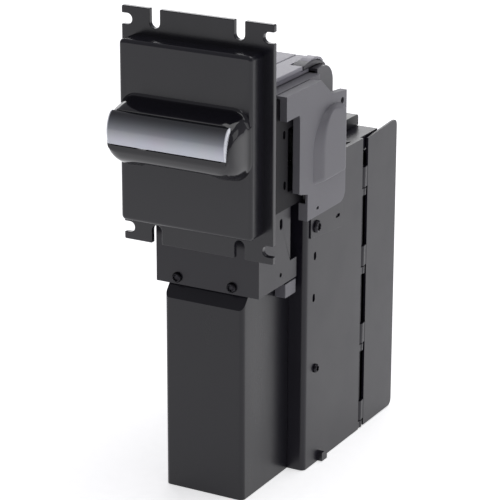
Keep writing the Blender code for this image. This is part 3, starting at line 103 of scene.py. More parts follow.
camera = bpy.data.objects.new("camera", bpy.data.cameras.new("camera"))
bpy.context.scene.collection.objects.link(camera)
camera.data.sensor_width = 36.0
camera.data.lens = 172.8
camera.data.clip_end = 20.0
yaw, pitch, roll = (math.radians(a) for a in (28.96, 19.00, 0.16))
back = Vector((math.sin(yaw) * math.cos(pitch), -math.cos(yaw) * math.cos(pitch), math.sin(pitch)))
right = Vector((math.cos(yaw), math.sin(yaw), 0.0))
up = back.cross(right)
across = math.cos(roll) * right + math.sin(roll) * up
upright = -math.sin(roll) * right + math.cos(roll) * up
aim = Matrix((across, upright, back)).transposed().to_4x4()
camera.matrix_world = Matrix.Translation(place(657.6, -1126.1, 603.9)) @ aim
bpy.context.scene.camera = camera

studio_air = bpy.data.worlds.new("studio_air")
studio_air.use_nodes = True
studio_air.node_tree.nodes["Background"].inputs["Color"].default_value = linear("#F4F3FC")
studio_air.node_tree.nodes["Background"].inputs["Strength"].default_value = 0.34
bpy.context.scene.world = studio_air
bpy.context.scene.view_settings.view_transform = "Standard"


def softbox(name, where, towards, wide, high, watts):
    """A large area light aimed at a point."""
    lamp = bpy.data.lights.new(name, "AREA")
    lamp.shape = "RECTANGLE"
    lamp.size = wide
    lamp.size_y = high
    lamp.energy = watts
    held = bpy.data.objects.new(name, lamp)
    held.location = where
    held.rotation_euler = (Vector(towards) - Vector(where)).to_track_quat("-Z", "Y").to_euler()
    bpy.context.scene.collection.objects.link(held)


softbox("overhead_softbox", (0.25, 0.3, 1.4), (0.0, 0.0, 0.15), 1.1, 1.1, 6.0)
softbox("rear_panel", (-1.15, 2.05, 1.0), (0.0, 0.0, 0.2), 2.4, 1.0, 16.0)
softbox("right_softbox", (1.4, 0.5, 0.6), (0.0, 0.0, 0.15), 0.8, 0.8, 1.6)

card, card_tree, card_out = finish_of("lit_opal_table")
# A white opal table lit from below, with a faint cloud in it, which takes a soft shadow
# and gives no reflection.
fibre = node(card_tree, "ShaderNodeTexNoise", {"Scale": 900.0, "Detail": 2.0})
paper_tone = node(card_tree, "ShaderNodeMixRGB", {1: linear("#F4F4F4"), 2: linear("#FCFCFC")},
                  {0: fibre.outputs["Fac"]})
paper = node(card_tree, "ShaderNodeBsdfPrincipled", {"Roughness": 0.95, "Emission Strength": 0.62},
             {"Base Color": paper_tone.outputs[0], "Emission Color": paper_tone.outputs[0]})
card_tree.links.new(paper.outputs[0], card_out.inputs[0])
sheet = bmesh.new()
lower_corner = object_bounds()[0].z
sheet_corners = [(-2.5, -2.5), (2.5, -2.5), (2.5, 3.0), (-2.5, 3.0)]
sheet.faces.new([sheet.verts.new((x, y, lower_corner - 0.0003)) for x, y in sheet_corners])
floor_mesh = bpy.data.meshes.new("studio_floor")
sheet.to_mesh(floor_mesh)
sheet.free()
floor = bpy.data.objects.new("studio_floor", floor_mesh)
floor_mesh.materials.append(card)
bpy.context.scene.collection.objects.link(floor)

# ------------------------------------------------------------------ bezel
# One injection moulding of black ABS: the flange whose four slotted ears hang on studs
# behind the machine's door, the raised mask that fills the door's cut-out, and the mouth
# that stands out of it. The outside is polished in the tool, so it is glossy.
BEZEL_EDGE = 2.2
MASK = (-43.0, 43.0, 170.4, 277.4)
MASK_FRONT = -13.7
FLANGE = (-49.1, 49.1, 154.0, 293.2)
FLANGE_THICK = 3.3
STUD_PITCH = 124.0
STUD_SLOT = (6.8, 3.2)         # its depth from the ear's edge, and its radius
EAR_CUT = (27.35, 11.2, 3.35)  # its middle across the flange, its depth and its radius
HOLLOW = (-40.6, 40.6, 172.8, 275.0)
CHAMBER = (-37.0, 37.0, 224.2, 239.0)
NOTE_SLOT = (-35.5, 35.5, 216.62, 222.18)


def arc(a, b, radius, start, turn, steps):
    """Points of an arc with both ends, in a plane."""
    angles = [math.radians(start + turn * i / steps) for i in range(steps + 1)]
    return [(a + radius * math.cos(t), b + radius * math.sin(t)) for t in angles]


def rounded_loop(a0, a1, b0, b1, radius, steps=6):
    """Rectangle with round corners; one radius, or one for each corner from low-low round."""
    radii = radius if isinstance(radius, (list, tuple)) else [radius] * 4
    loop = []
    for (a, b, start), r in zip(((a0, b0, 180), (a1, b0, 270), (a1, b1, 0), (a0, b1, 90)), radii):
        if r <= 0:
            loop.append((a, b))
        else:
            loop += arc(a + (r if a == a0 else -r), b + (r if b == b0 else -r), r, start, 90, steps)
    return loop


def skin(rings):
    """A surface through rings of points in millimetres, all with the same count."""
    bm = bmesh.new()
    rows = [[bm.verts.new(place(*p)) for p in ring] for ring in rings]
    count = len(rows[0])
    for near, far in zip(rows, rows[1:]):
        for i in range(count):
            j = (i + 1) % count
            bm.faces.new((near[i], near[j], far[j], far[i]))
    bm.faces.new(rows[0])
    bm.faces.new(rows[-1])
    bmesh.ops.recalc_face_normals(bm, faces=bm.faces)
    return bm


def extruded(loop, axis, lo, hi):
    """A flat loop drawn out along an axis: X takes (y, z), Y takes (x, z), Z takes (x, y)."""
    def lifted(a, b, t):
        return {"X": (t, a, b), "Y": (a, t, b), "Z": (a, b, t)}[axis]

    return skin([[lifted(a, b, t) for a, b in loop] for t in (lo, hi)])


def brick(x0, x1, y0, y1, z0, z1):
    return extruded([(x0, y0), (x1, y0), (x1, y1), (x0, y1)], "Z", z0, z1)


def piece(name, bm, finish, smooth=40.0):
    """Turns a bmesh into a named object with one finish, smooth up to an angle."""
    mesh = bpy.data.meshes.new(name)
    bm.to_mesh(mesh)
    bm.free()
    mesh.shade_smooth()
    mesh.set_sharp_from_angle(angle=math.radians(smooth))
    made = bpy.data.objects.new(name, mesh)
    bpy.context.scene.collection.objects.link(made)
    if finish:
        mesh.materials.append(finish)
    return made


def combined(target, operation, *tools):
    """Cuts bmeshes out of a piece, or joins them to it, and keeps the result as its mesh."""
    for bm in tools:
        tool = piece("tool", bm, None)
        step = target.modifiers.new("step", "BOOLEAN")
        step.operation = operation
        step.object = tool
        step.solver = "EXACT"
        bpy.context.view_layer.update()
        seen = target.evaluated_get(bpy.context.evaluated_depsgraph_get())
        mesh = bpy.data.meshes.new_from_object(seen)
        target.modifiers.clear()
        target.data = mesh
        bpy.data.objects.remove(tool)
    return target


def eased(target, width, segments=3, angle=32.0):
    """Rounds a piece's sharp edges by a width in mm, as tools and sheet metal leave them."""
    join = target.modifiers.new("weld", "WELD")
    join.merge_threshold = 0.000008
    ease = target.modifiers.new("edge_radius", "BEVEL")
    ease.width = width * 0.001
    ease.segments = segments
    ease.limit_method = "ANGLE"
    ease.angle_limit = math.radians(angle)
    ease.miter_outer = "MITER_ARC"
    ease.use_clamp_overlap = True
    shade = target.modifiers.new("shading", "WEIGHTED_NORMAL")
    shade.keep_sharp = True
    shade.weight = 60
    return target


gloss_black, tree, out = finish_of("polished_black_abs")
# Polished black ABS: nearly black, a clear soft reflection, and faint flow marks and
# finger haze that change its gloss slightly from place to place.
spot = node(tree, "ShaderNodeTexCoord")
haze = node(tree, "ShaderNodeTexNoise", {"Scale": 38.0, "Detail": 5.0, "Roughness": 0.6},
            {"Vector": spot.outputs["Object"]})
haze_gloss = node(tree, "ShaderNodeMapRange",
                  {"From Min": 0.3, "From Max": 0.7, "To Min": 0.21, "To Max": 0.26},
                  {"Value": haze.outputs["Fac"]})
flow = node(tree, "ShaderNodeTexNoise", {"Scale": 9.0, "Detail": 2.0},
            {"Vector": spot.outputs["Object"]})
flow_tone = node(tree, "ShaderNodeMixRGB", {1: linear("#111017"), 2: linear("#15141C")},
                 {0: flow.outputs["Fac"]})
grit = node(tree, "ShaderNodeTexNoise", {"Scale": 1500.0, "Detail": 2.0},
            {"Vector": spot.outputs["Object"]})
grain = node(tree, "ShaderNodeBump", {"Strength": 0.05, "Distance": 0.00003},
             {"Height": grit.outputs["Fac"]})
shell = node(tree, "ShaderNodeBsdfPrincipled", {"IOR": 1.53},
             {"Base Color": flow_tone.outputs[0], "Roughness": haze_gloss.outputs[0],
              "Normal": grain.outputs[0]})
tree.links.new(shell.outputs[0], out.inputs[0])

mirror_black, tree, out = finish_of("mirror_polished_black_abs")
# The same moulding where the tool is polished to a mirror, round the mouth: crisp bright
# lines on every turn of the surface, dulled a little by the edges of notes and fingers.
spot = node(tree, "ShaderNodeTexCoord")
wear = node(tree, "ShaderNodeTexNoise", {"Scale": 70.0, "Detail": 5.0, "Roughness": 0.6},
            {"Vector": spot.outputs["Object"]})
wear_gloss = node(tree, "ShaderNodeMapRange",
                  {"From Min": 0.35, "From Max": 0.7, "To Min": 0.07, "To Max": 0.13},
                  {"Value": wear.outputs["Fac"]})
wear_tone = node(tree, "ShaderNodeMixRGB", {1: linear("#0D0C12"), 2: linear("#131219")},
                 {0: wear.outputs["Fac"]})
shell = node(tree, "ShaderNodeBsdfPrincipled", {"IOR": 1.53},
             {"Base Color": wear_tone.outputs[0], "Roughness": wear_gloss.outputs[0]})
tree.links.new(shell.outputs[0], out.inputs[0])

# the flange, with its ears parted from the centre tabs by round-bottomed cuts
flange = piece("bezel_flange", extruded(rounded_loop(*FLANGE, 0.8, 3), "Y", 0, FLANGE_THICK), gloss_black)
flange_middle = (FLANGE[2] + FLANGE[3]) / 2
notches = []
stud_depth, stud_radius = STUD_SLOT
cut_middle, cut_depth, cut_radius = EAR_CUT
for side in (-1, 1):
    for level in (-1, 1):
        stud = flange_middle + level * STUD_PITCH / 2
        stud_slot = arc(FLANGE[1] - stud_depth + stud_radius, stud, stud_radius, 90, 180, 12)
        stud_slot += [(FLANGE[1] + 1.9, stud - stud_radius), (FLANGE[1] + 1.9, stud + stud_radius)]
        notches.append(extruded([(side * a, b) for a, b in stud_slot], "Y", -1, FLANGE_THICK + 1))
        edge = FLANGE[3] if level > 0 else FLANGE[2]
        bottom = edge - level * (cut_depth - cut_radius)
        gap = arc(cut_middle, bottom, cut_radius, 180 if level > 0 else 0, 180, 12)
        gap += [(cut_middle + level * cut_radius, edge + level),
                (cut_middle - level * cut_radius, edge + level)]
        notches.append(extruded([(side * a, b) for a, b in gap], "Y", -1, FLANGE_THICK + 1))
combined(flange, "DIFFERENCE", *notches)
combined(flange, "DIFFERENCE",
         extruded(rounded_loop(-40.4, 40.4, 173.0, 274.8, 1.0), "Y", -1, FLANGE_THICK + 1))
eased(flange, 0.45)

# the mask: a shallow box with a radius round its front edge, drawn back to the flange
def mask_ring(y, inset, radius):
    return [(a, y, b) for a, b in
            rounded_loop(MASK[0] + inset, MASK[1] - inset, MASK[2] + inset, MASK[3] - inset, radius, 6)]


turn = [math.radians(90 * i / 6) for i in range(7)]
outer_rings = [mask_ring(1.2, 0.0, BEZEL_EDGE + 0.6)]
outer_rings += [mask_ring(MASK_FRONT + BEZEL_EDGE * (1 - math.sin(t)), BEZEL_EDGE * (1 - math.cos(t)),
                          BEZEL_EDGE + 0.6 - BEZEL_EDGE * (1 - math.cos(t)) * 0.9) for t in turn]
mask = piece("bezel_mask", skin(outer_rings), gloss_black)
combined(mask, "DIFFERENCE", extruded(rounded_loop(*HOLLOW, 1.2), "Y", MASK_FRONT + 2.4, 4),
         brick(*CHAMBER[:2], -20, -5, *CHAMBER[2:]), brick(*NOTE_SLOT[:2], -20, -5, *NOTE_SLOT[2:]))
mask.modifiers.new("shading", "WEIGHTED_NORMAL").keep_sharp = True

# the mouth: rings across it that shrink from the mask forwards, flared where they meet it
steps_forward = [
    # y, half width, top, bottom, corner radius
    (-12.6, 42.7, 247.9, 204.8, 12.0),
    (-13.75, 42.5, 247.4, 204.9, 11.5),
    (-14.3, 42.1, 246.5, 205.2, 11.0),
    (-15.3, 41.8, 245.8, 205.6, 10.6),
    (-17.0, 41.5, 245.2, 206.1, 10.2),
    (-20.0, 41.4, 244.2, 207.2, 9.6),
    (-23.0, 41.3, 243.3, 207.9, 9.2),
    (-26.0, 41.1, 242.4, 209.5, 9.0),
    (-28.6, 40.8, 241.3, 211.1, 9.0),
    (-30.4, 40.4, 239.9, 212.6, 8.6),
    (-31.8, 39.9, 237.6, 214.2, 8.0),
    (-32.8, 39.3, 234.0, 215.8, 6.6),
    (-33.6, 38.9, 229.0, 217.4, 4.6),
    (-34.4, 38.0, 224.0, 219.2, 1.6),
]


def lip_hollow(x, amount):
    """How far the finger scoop lifts the underside of the lip at a place across it."""
    inside = max(0.0, 1 - (x / 27.0) ** 2)
    return amount * inside ** 0.6


mouth_rings = []
for y, half, top, bottom, radius in steps_forward:
    ring = []
    loop = rounded_loop(-half, half, bottom, top, radius, 10)
    whole = []
    for (a, b), (c, d) in zip(loop, loop[1:] + loop[:1]):
        parts = max(1, int(math.hypot(c - a, d - b) / 2.5))
        whole += [(a + (c - a) * i / parts, b + (d - b) * i / parts) for i in range(parts)]
    for a, b in whole:
        low = max(0.0, min(1.0, (bottom + 4.0 - b) / 4.0))
        lift = lip_hollow(a, max(0.0, min(5.4, 211.4 - bottom))) * low
        ring.append((a, y, b + lift))
    mouth_rings.append(ring)
target_count = 220


def resampled(ring, count):
    """The same closed ring with evenly spaced points, starting under its middle."""
    start = min(range(len(ring)), key=lambda i: abs(ring[i][0]) + (1000 if ring[i][2] > 222 else 0))
    ring = ring[start:] + ring[:start]
    points = [Vector(p) for p in ring] + [Vector(ring[0])]
    lengths = [0.0]
    for p, q in zip(points, points[1:]):
        lengths.append(lengths[-1] + (q - p).length)
    even, at = [], 0
    for k in range(count):
        want = lengths[-1] * k / count
        while lengths[at + 1] < want:
            at += 1
        span = lengths[at + 1] - lengths[at]
        even.append(tuple(points[at].lerp(points[at + 1], (want - lengths[at]) / span if span else 0.0)))
    return even


mouth = piece("bezel_mouth", skin([resampled(r, target_count) for r in mouth_rings]), mirror_black, 60.0)
combined(mouth, "DIFFERENCE", brick(-38.4, 38.4, -40.0, -28.8, 222.2, 243.0),
         brick(-37.0, 37.0, -29.5, -10.0, 224.2, 239.0),
         extruded([(-40.0, 221.5), (-33.2, 221.5), (-27.0, 216.62), (-10.0, 216.62), (-10.0, 222.2),
                   (-29.0, 222.2), (-29.0, 222.22), (-40.0, 222.22)], "X", -35.5, 35.5))
eased(mouth, 0.35, 2, 50.0)
for shell_piece in (flange, mask, mouth):
    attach(shell_piece, "frame")
    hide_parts("bezel")

# ------------------------------------------------------------------ lens
# A curved strip of smoked acrylic snapped into the mouth, lit from behind by a row of
# lamps. It overhangs the slot below it and stands a little proud of the mouth's ends.
LENS_HALF = 38.1
LENS_HEIGHTS = (0.2216, 0.2410)   # metres above the base, from its foot to its top
acrylic, tree, out = finish_of("smoked_acrylic")
# Cast smoked acrylic over a diffusing back, with a wet gloss. Its colour is painted by height:
# painted shade from the mouth's roof darkens it towards its top; below, the milky blue grey of its
# diffusing back is lightened by a painted glow of the lamps behind it. A painted glow brightens its cut
# ends.
spot = node(tree, "ShaderNodeTexCoord")
apart = node(tree, "ShaderNodeSeparateXYZ", None, {0: spot.outputs["Object"]})
height = node(tree, "ShaderNodeMapRange", {"From Min": LENS_HEIGHTS[0], "From Max": LENS_HEIGHTS[1]},
              {"Value": apart.outputs["Z"]})
# Painted light by height: a painted glow of the lamps behind it low down, painted shade of the mouth's roof
# towards the top.
painted_glow_and_roof_shade = node(tree, "ShaderNodeValToRGB", None, {"Fac": height.outputs[0]})
ramp = painted_glow_and_roof_shade.color_ramp
ramp.interpolation = "EASE"
ramp.elements[0].color = linear("#C8CCD5")
ramp.elements.new(0.9995).color = linear("#16171B")
cloud = node(tree, "ShaderNodeTexNoise", {"Scale": 55.0, "Detail": 3.0},
             {"Vector": spot.outputs["Object"]})
cloudy = node(tree, "ShaderNodeMixRGB", {"blend_type": "OVERLAY", 0: 0.10},
              {1: painted_glow_and_roof_shade.outputs[0], 2: cloud.outputs["Color"]})
sideways = node(tree, "ShaderNodeMath", {"operation": "ABSOLUTE"}, {0: apart.outputs["X"]})
# A painted glow on the lens's cut ends.
painted_end_glow_band = node(tree, "ShaderNodeMapRange", {"From Min": 0.0372, "From Max": 0.0376},
                {"Value": sideways.outputs[0]})
lit = node(tree, "ShaderNodeMixRGB", {2: linear("#E4E6EC")},
           {0: painted_end_glow_band.outputs[0], 1: cloudy.outputs[0]})
swirl = node(tree, "ShaderNodeTexNoise", {"Scale": 300.0, "Detail": 2.0},
             {"Vector": spot.outputs["Object"]})
swirl_gloss = node(tree, "ShaderNodeMapRange", {"To Min": 0.07, "To Max": 0.14},
                   {"Value": swirl.outputs["Fac"]})
shell = node(tree, "ShaderNodeBsdfPrincipled", {"IOR": 1.49, "Coat Weight": 0.5, "Coat Roughness": 0.05},
             {"Base Color": lit.outputs[0], "Roughness": swirl_gloss.outputs[0]})
tree.links.new(shell.outputs[0], out.inputs[0])


def curve_through(points, steps):
    """A smooth run of points through the given ones (Catmull-Rom)."""
    points = [Vector(p) for p in points]
    padded = [points[0] * 2 - points[1]] + points + [points[-1] * 2 - points[-2]]
    run = []
    for p0, p1, p2, p3 in zip(padded, padded[1:], padded[2:], padded[3:]):
        for i in range(steps):
            t = i / steps
            run.append(tuple(0.5 * (2 * p1 + (p2 - p0) * t + (2 * p0 - 5 * p1 + 4 * p2 - p3) * t * t
                                    + (3 * p1 - p0 - 3 * p2 + p3) * t ** 3)))
    return run + [tuple(points[-1])]


lens_face = curve_through([(-29.0, 240.5), (-31.0, 239.9), (-32.7, 238.2), (-34.3, 235.2), (-35.3, 231.2),
                           (-35.35, 227.2), (-34.5, 222.1)], 6)
lens_back = curve_through([(-31.3, 222.1), (-31.5, 228.0), (-31.2, 233.0), (-30.2, 236.4),
                           (-29.0, 237.6)], 4)
lens = piece("mouth_lens_strip", extruded(lens_face + lens_back, "X", -LENS_HALF, LENS_HALF), acrylic, 50)
eased(lens, 0.5, 3, 50.0)
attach(lens, "frame")
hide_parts("mouth_lens")

# ------------------------------------------------------------------ boards
# Glass-epoxy circuit boards: the lamps behind the lens, the sensors above and below the
# note path, the main board on the left wall and the power board in the front box.
board, tree, out = finish_of("solder_masked_glass_epoxy")
# Green solder mask: satin, with copper tracks 0.5 mm apart raised under it and pale pads.
spot = node(tree, "ShaderNodeTexCoord")
tracks = node(tree, "ShaderNodeTexBrick", {"Scale": 260.0, "Mortar Size": 0.06, "Color1": linear("#1E5A38"),
                                         "Color2": linear("#174A2E"), "Mortar": linear("#2F7A4C")},
              {"Vector": spot.outputs["Object"]})
pads = node(tree, "ShaderNodeTexVoronoi", {"Scale": 330.0}, {"Vector": spot.outputs["Object"]})
pad_mask = node(tree, "ShaderNodeMath", {"operation": "LESS_THAN", 1: 0.16},
                {0: pads.outputs["Distance"]})
dotted = node(tree, "ShaderNodeMixRGB", {2: linear("#B9B7A4")},
              {0: pad_mask.outputs[0], 1: tracks.outputs["Color"]})
raised = node(tree, "ShaderNodeBump", {"Strength": 0.4, "Distance": 0.00005},
              {"Height": tracks.outputs["Fac"]})
shell = node(tree, "ShaderNodeBsdfPrincipled", {"Roughness": 0.38, "IOR": 1.5},
             {"Base Color": dotted.outputs[0], "Normal": raised.outputs[0]})
tree.links.new(shell.outputs[0], out.inputs[0])


def carried(names, finish, radius=0.0, angle=32.0):
    """Gives CAD nodes a finish, and softens their edges as the real ones are."""
    for name in names:
        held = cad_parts[name]
        if "custom_normal" in held.data.attributes:
            held.data.attributes.remove(held.data.attributes["custom_normal"])
        held.data.materials.clear()
        held.data.materials.append(finish)
        held.data.shade_smooth()
        weld = held.modifiers.new("weld", "WELD")
        weld.merge_threshold = 0.000008
        if radius:
            eased(held, radius, 2, angle)
        else:
            held.modifiers.new("edges", "EDGE_SPLIT").split_angle = math.radians(38)


carried(["mouth_lamp_board", "main_board", "lower_sensor_board", "upper_sensor_board",
         "power_board"], board)

# ------------------------------------------------------------------ head chassis
# The frame of the head, moulded in one from black glass-filled plastic: two side walls
# with lightening windows, joined by the floor that the note slides on.
matt_black, tree, out = finish_of("glass_filled_black_nylon")
# Glass-filled nylon: dull black with a fine mottle where fibres lie near the surface.
spot = node(tree, "ShaderNodeTexCoord")
fibres = node(tree, "ShaderNodeTexNoise", {"Scale": 700.0, "Detail": 4.0, "Roughness": 0.65},
              {"Vector": spot.outputs["Object"]})
mottle = node(tree, "ShaderNodeMixRGB", {1: linear("#111013"), 2: linear("#1A191D")},
              {0: fibres.outputs["Fac"]})
sheen = node(tree, "ShaderNodeMapRange", {"To Min": 0.42, "To Max": 0.56},
             {"Value": fibres.outputs["Fac"]})
rise = node(tree, "ShaderNodeBump", {"Strength": 0.12, "Distance": 0.00005},
            {"Height": fibres.outputs["Fac"]})
shell = node(tree, "ShaderNodeBsdfPrincipled", {"IOR": 1.53, "Specular IOR Level": 0.12},
             {"Base Color": mottle.outputs[0], "Roughness": sheen.outputs[0],
              "Normal": rise.outputs[0]})
tree.links.new(shell.outputs[0], out.inputs[0])
carried(["head_chassis"], matt_black, 0.3)

# ------------------------------------------------------------------ side covers
# Moulded ABS covers clipped to the chassis walls and held by one screw each. The right
# one bulges out over the drum gear and the motor's pinion; the left one is plain.
COVER_FACE = 40.7
COVER_BACK = 39.2
COVER_RIM = 36.2          # inner edge of its rims, just off the chassis wall
COVER_FRONT = 31.5
COVER_REAR = 106.8
COVER_TOP = 243.6
COVER_FOOT = 162.0
COVER_SCREW = (101.3, 225.3)
BULGE_FACE = 44.3
BULGE_FOOT = 182.0
cover_abs, tree, out = finish_of("spark_textured_grey_abs")
# Spark-textured ABS: an even mid grey with a fine sand of about 0.3 mm, drawn at 0.6 mm so
# that it shows, which scatters the light into a broad, soft sheen.
spot = node(tree, "ShaderNodeTexCoord")
sand = node(tree, "ShaderNodeTexNoise", {"Scale": 1600.0, "Detail": 3.0, "Roughness": 0.7},
            {"Vector": spot.outputs["Object"]})
drift = node(tree, "ShaderNodeTexNoise", {"Scale": 22.0, "Detail": 3.0},
             {"Vector": spot.outputs["Object"]})
grey_drift = node(tree, "ShaderNodeMixRGB", {1: linear("#67666B"), 2: linear("#6F6E73")},
                  {0: drift.outputs["Fac"]})
speckle = node(tree, "ShaderNodeMixRGB", {"blend_type": "OVERLAY", 0: 0.12},
               {1: grey_drift.outputs[0], 2: sand.outputs["Color"]})
dull = node(tree, "ShaderNodeMapRange", {"To Min": 0.46, "To Max": 0.60},
            {"Value": sand.outputs["Fac"]})
sandy = node(tree, "ShaderNodeBump", {"Strength": 0.16, "Distance": 0.00006},
             {"Height": sand.outputs["Fac"]})
shell = node(tree, "ShaderNodeBsdfPrincipled", {"IOR": 1.53},
             {"Base Color": speckle.outputs[0], "Roughness": dull.outputs[0],
              "Normal": sandy.outputs[0]})
tree.links.new(shell.outputs[0], out.inputs[0])


def cover_side(side):
    """A cover's plate with its rims, seen from the side and mirrored for the left."""
    def span(lo, hi):
        return (lo, hi) if side > 0 else (-hi, -lo)

    outline = [(COVER_FRONT, COVER_TOP), (74.0, COVER_TOP), (84.4, 235.6), (87.8, 232.6), (90.6, 231.2),
               (93.4, 230.75), (COVER_REAR, 230.6), (COVER_REAR, COVER_FOOT + 7)]
    outline += arc(COVER_REAR - 7, COVER_FOOT + 7, 7, 0, -90, 8)[1:]
    outline += [(58, COVER_FOOT), (58, 178.6), (49.6, 180.6), (48.4, 181.3), (48.1, 182.6), (47.6, 227.6),
                (47.0, 228.8), (45.8, 229.2), (COVER_FRONT, 229)]
    made = piece("cover", extruded(outline, "X", *span(COVER_BACK, COVER_FACE)), cover_abs)
    slope = [(73.4, COVER_TOP), (84.4, 235.2), (83.4, 234.2), (72.9, 241.8)]
    wing = [(88.5, 232.2), (COVER_REAR, 230.6), (COVER_REAR, 229.4), (88.5, 230.4)]
    rim = span(COVER_RIM, COVER_FACE)
    combined(made, "UNION",
             brick(*span(33.95, COVER_FACE), COVER_FRONT, 74.0, 241.8, COVER_TOP),
             brick(*rim, COVER_FRONT, COVER_FRONT + 1.5, 229.0, COVER_TOP),
             brick(*rim, 47.7, 49.2, 181.5, 230.5),
             brick(*span(34.8, COVER_FACE), 58.0, 59.2, COVER_FOOT, 172.5),
             brick(*rim, COVER_REAR - 1.5, COVER_REAR, 193.5, 230.6),
             extruded(slope, "X", *rim),
             extruded(wing, "X", *rim))
    return made, span


def d_shape(inset, lean):
    """The bulge's outline: flat foot, straight back, and a front that curves back at the top."""
    front = 64.7 + inset + lean
    top = 226.0 - inset
    rear = COVER_REAR - 0.1 - inset - lean * 0.9
    foot = BULGE_FOOT + inset
    points = [(rear, foot + 1.2), (rear, foot + 20), (rear, top - 9.0)]
    centre, middle = (rear - 14.5, top - 24.0)
    for step in range(25):
        angle = math.radians(47.0 + step * 5.54)
        points.append((centre + (centre - front) * math.cos(angle) if angle > math.pi / 2
                       else centre + 21.0 * math.cos(angle), middle + 24.0 * math.sin(angle)))
    points += [(front, foot + 3.0)]
    points += arc(front + 3.0, foot + 3.0, 3.0, 180, 90, 6)[1:]
    points += [(rear - 1.4, foot)]
    return points


right_cover, span = cover_side(1)
right_cover.name = "right_cover_moulding"
bulge_rings = [(38.9, 0.0, 0.0), (40.5, 0.0, 0.0), (40.9, 0.1, 0.3), (41.9, 0.5, 2.0), (43.2, 0.9, 4.2),
               (43.9, 1.2, 5.4), (44.2, 1.7, 6.0), (BULGE_FACE, 2.6, 6.5)]
combined(right_cover, "UNION",
         skin([[(x, a, b) for a, b in d_shape(inset, lean)] for x, inset, lean in bulge_rings]))
screw_hole = arc(*COVER_SCREW, 2.0, 0, 345, 23)
foot_slot = rounded_loop(69.4, 72.6, 165.9, 167.7, 0.88)
under_bulge = [[(x, a, b) for a, b in d_shape(inset, lean)]
               for x, inset, lean in ((37, 1.6, 0), (42.6, 2.0, 4.0))]
combined(right_cover, "DIFFERENCE", skin(under_bulge), extruded(screw_hole, "X", 36, 46),
         extruded(foot_slot, "X", 36, 46))
left_cover, span = cover_side(-1)
left_cover.name = "left_cover_moulding"
combined(left_cover, "DIFFERENCE", extruded(screw_hole, "X", -46, -36), extruded(foot_slot, "X", -46, -36))
for cover, hidden in ((right_cover, "right_side_cover"), (left_cover, "left_side_cover")):
    eased(cover, 0.45, 2, 38.0)
    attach(cover, "frame")
    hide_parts(hidden)

# ------------------------------------------------------------------ screws
# Cross-recessed pan-head screws, blackened: two through the bracket, two on each side of
# the stacker and one sunk in each side cover. Each is turned, and its recess is punched.
black_screw, tree, out = finish_of("black_oxide_steel")
# Black oxide on steel: dark and slightly oily, with bright metal on rubbed edges.
spot = node(tree, "ShaderNodeTexCoord")
rub = node(tree, "ShaderNodeTexNoise", {"Scale": 1100.0, "Detail": 3.0},
           {"Vector": spot.outputs["Object"]})
worn = node(tree, "ShaderNodeMapRange", {"From Min": 0.60, "From Max": 0.75},
            {"Value": rub.outputs["Fac"]})
rubbed = node(tree, "ShaderNodeMixRGB", {1: linear("#2B2A2E"), 2: linear("#5C5B60")},
              {0: worn.outputs[0]})
oily = node(tree, "ShaderNodeMapRange", {"To Min": 0.24, "To Max": 0.42}, {"Value": rub.outputs["Fac"]})
shell = node(tree, "ShaderNodeBsdfPrincipled", {"Metallic": 0.9},
             {"Base Color": rubbed.outputs[0], "Roughness": oily.outputs[0]})
tree.links.new(shell.outputs[0], out.inputs[0])


def pan_head(name, hidden, seat, outward, radius, head, shank, length):
    """A screw about its own axis: seat is the underside of its head, outward the way it faces."""
    dome = ((0.0, 1.0), (0.45, 0.97), (0.75, 0.84), (0.93, 0.58), (1.0, 0.28), (0.985, 0.0))
    profile = [(radius * r, head * t) for r, t in dome]
    profile += [(shank, 0.0), (shank, -length + 0.6), (0.0, -length)]
    around = 28
    bm = bmesh.new()
    rows = []
    for r, t in profile:
        if r == 0.0:
            rows.append([bm.verts.new((0, 0, t * 0.001))])
        else:
            rows.append([bm.verts.new((r * math.cos(a) * 0.001, r * math.sin(a) * 0.001, t * 0.001))
                         for a in [2 * math.pi * i / around for i in range(around)]])
    for near, far in zip(rows, rows[1:]):
        for i in range(around):
            j = (i + 1) % around
            ring = [near[i % len(near)], near[j % len(near)], far[j % len(far)], far[i % len(far)]]
            corners = [v for k, v in enumerate(ring) if v not in ring[:k]]
            bm.faces.new(corners)
    bmesh.ops.recalc_face_normals(bm, faces=bm.faces)
    turned = Vector(outward).to_track_quat("Z", "Y").to_matrix().to_4x4()
    bmesh.ops.transform(bm, matrix=Matrix.Translation(place(*seat)) @ turned, verts=bm.verts)
    screw = piece(name, bm, black_screw, 35)
    arms = []
    for wide, long in ((0.32, 0.62), (0.62, 0.32)):
        arm = bmesh.new()
        bmesh.ops.create_cube(arm, size=1.0)
        size = Vector((wide * radius * 2, long * radius * 2, head * 1.2)) * 0.001
        bmesh.ops.scale(arm, verts=arm.verts, vec=size)
        bmesh.ops.rotate(arm, verts=arm.verts, cent=(0, 0, 0), matrix=Matrix.Rotation(0.4, 3, "Z"))
        bmesh.ops.translate(arm, verts=arm.verts, vec=(0, 0, head * 0.001))
        bmesh.ops.transform(arm, matrix=Matrix.Translation(place(*seat)) @ turned, verts=arm.verts)
        arms.append(arm)
    combined(screw, "DIFFERENCE", *arms)
    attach(screw, "frame")
    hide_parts(hidden)


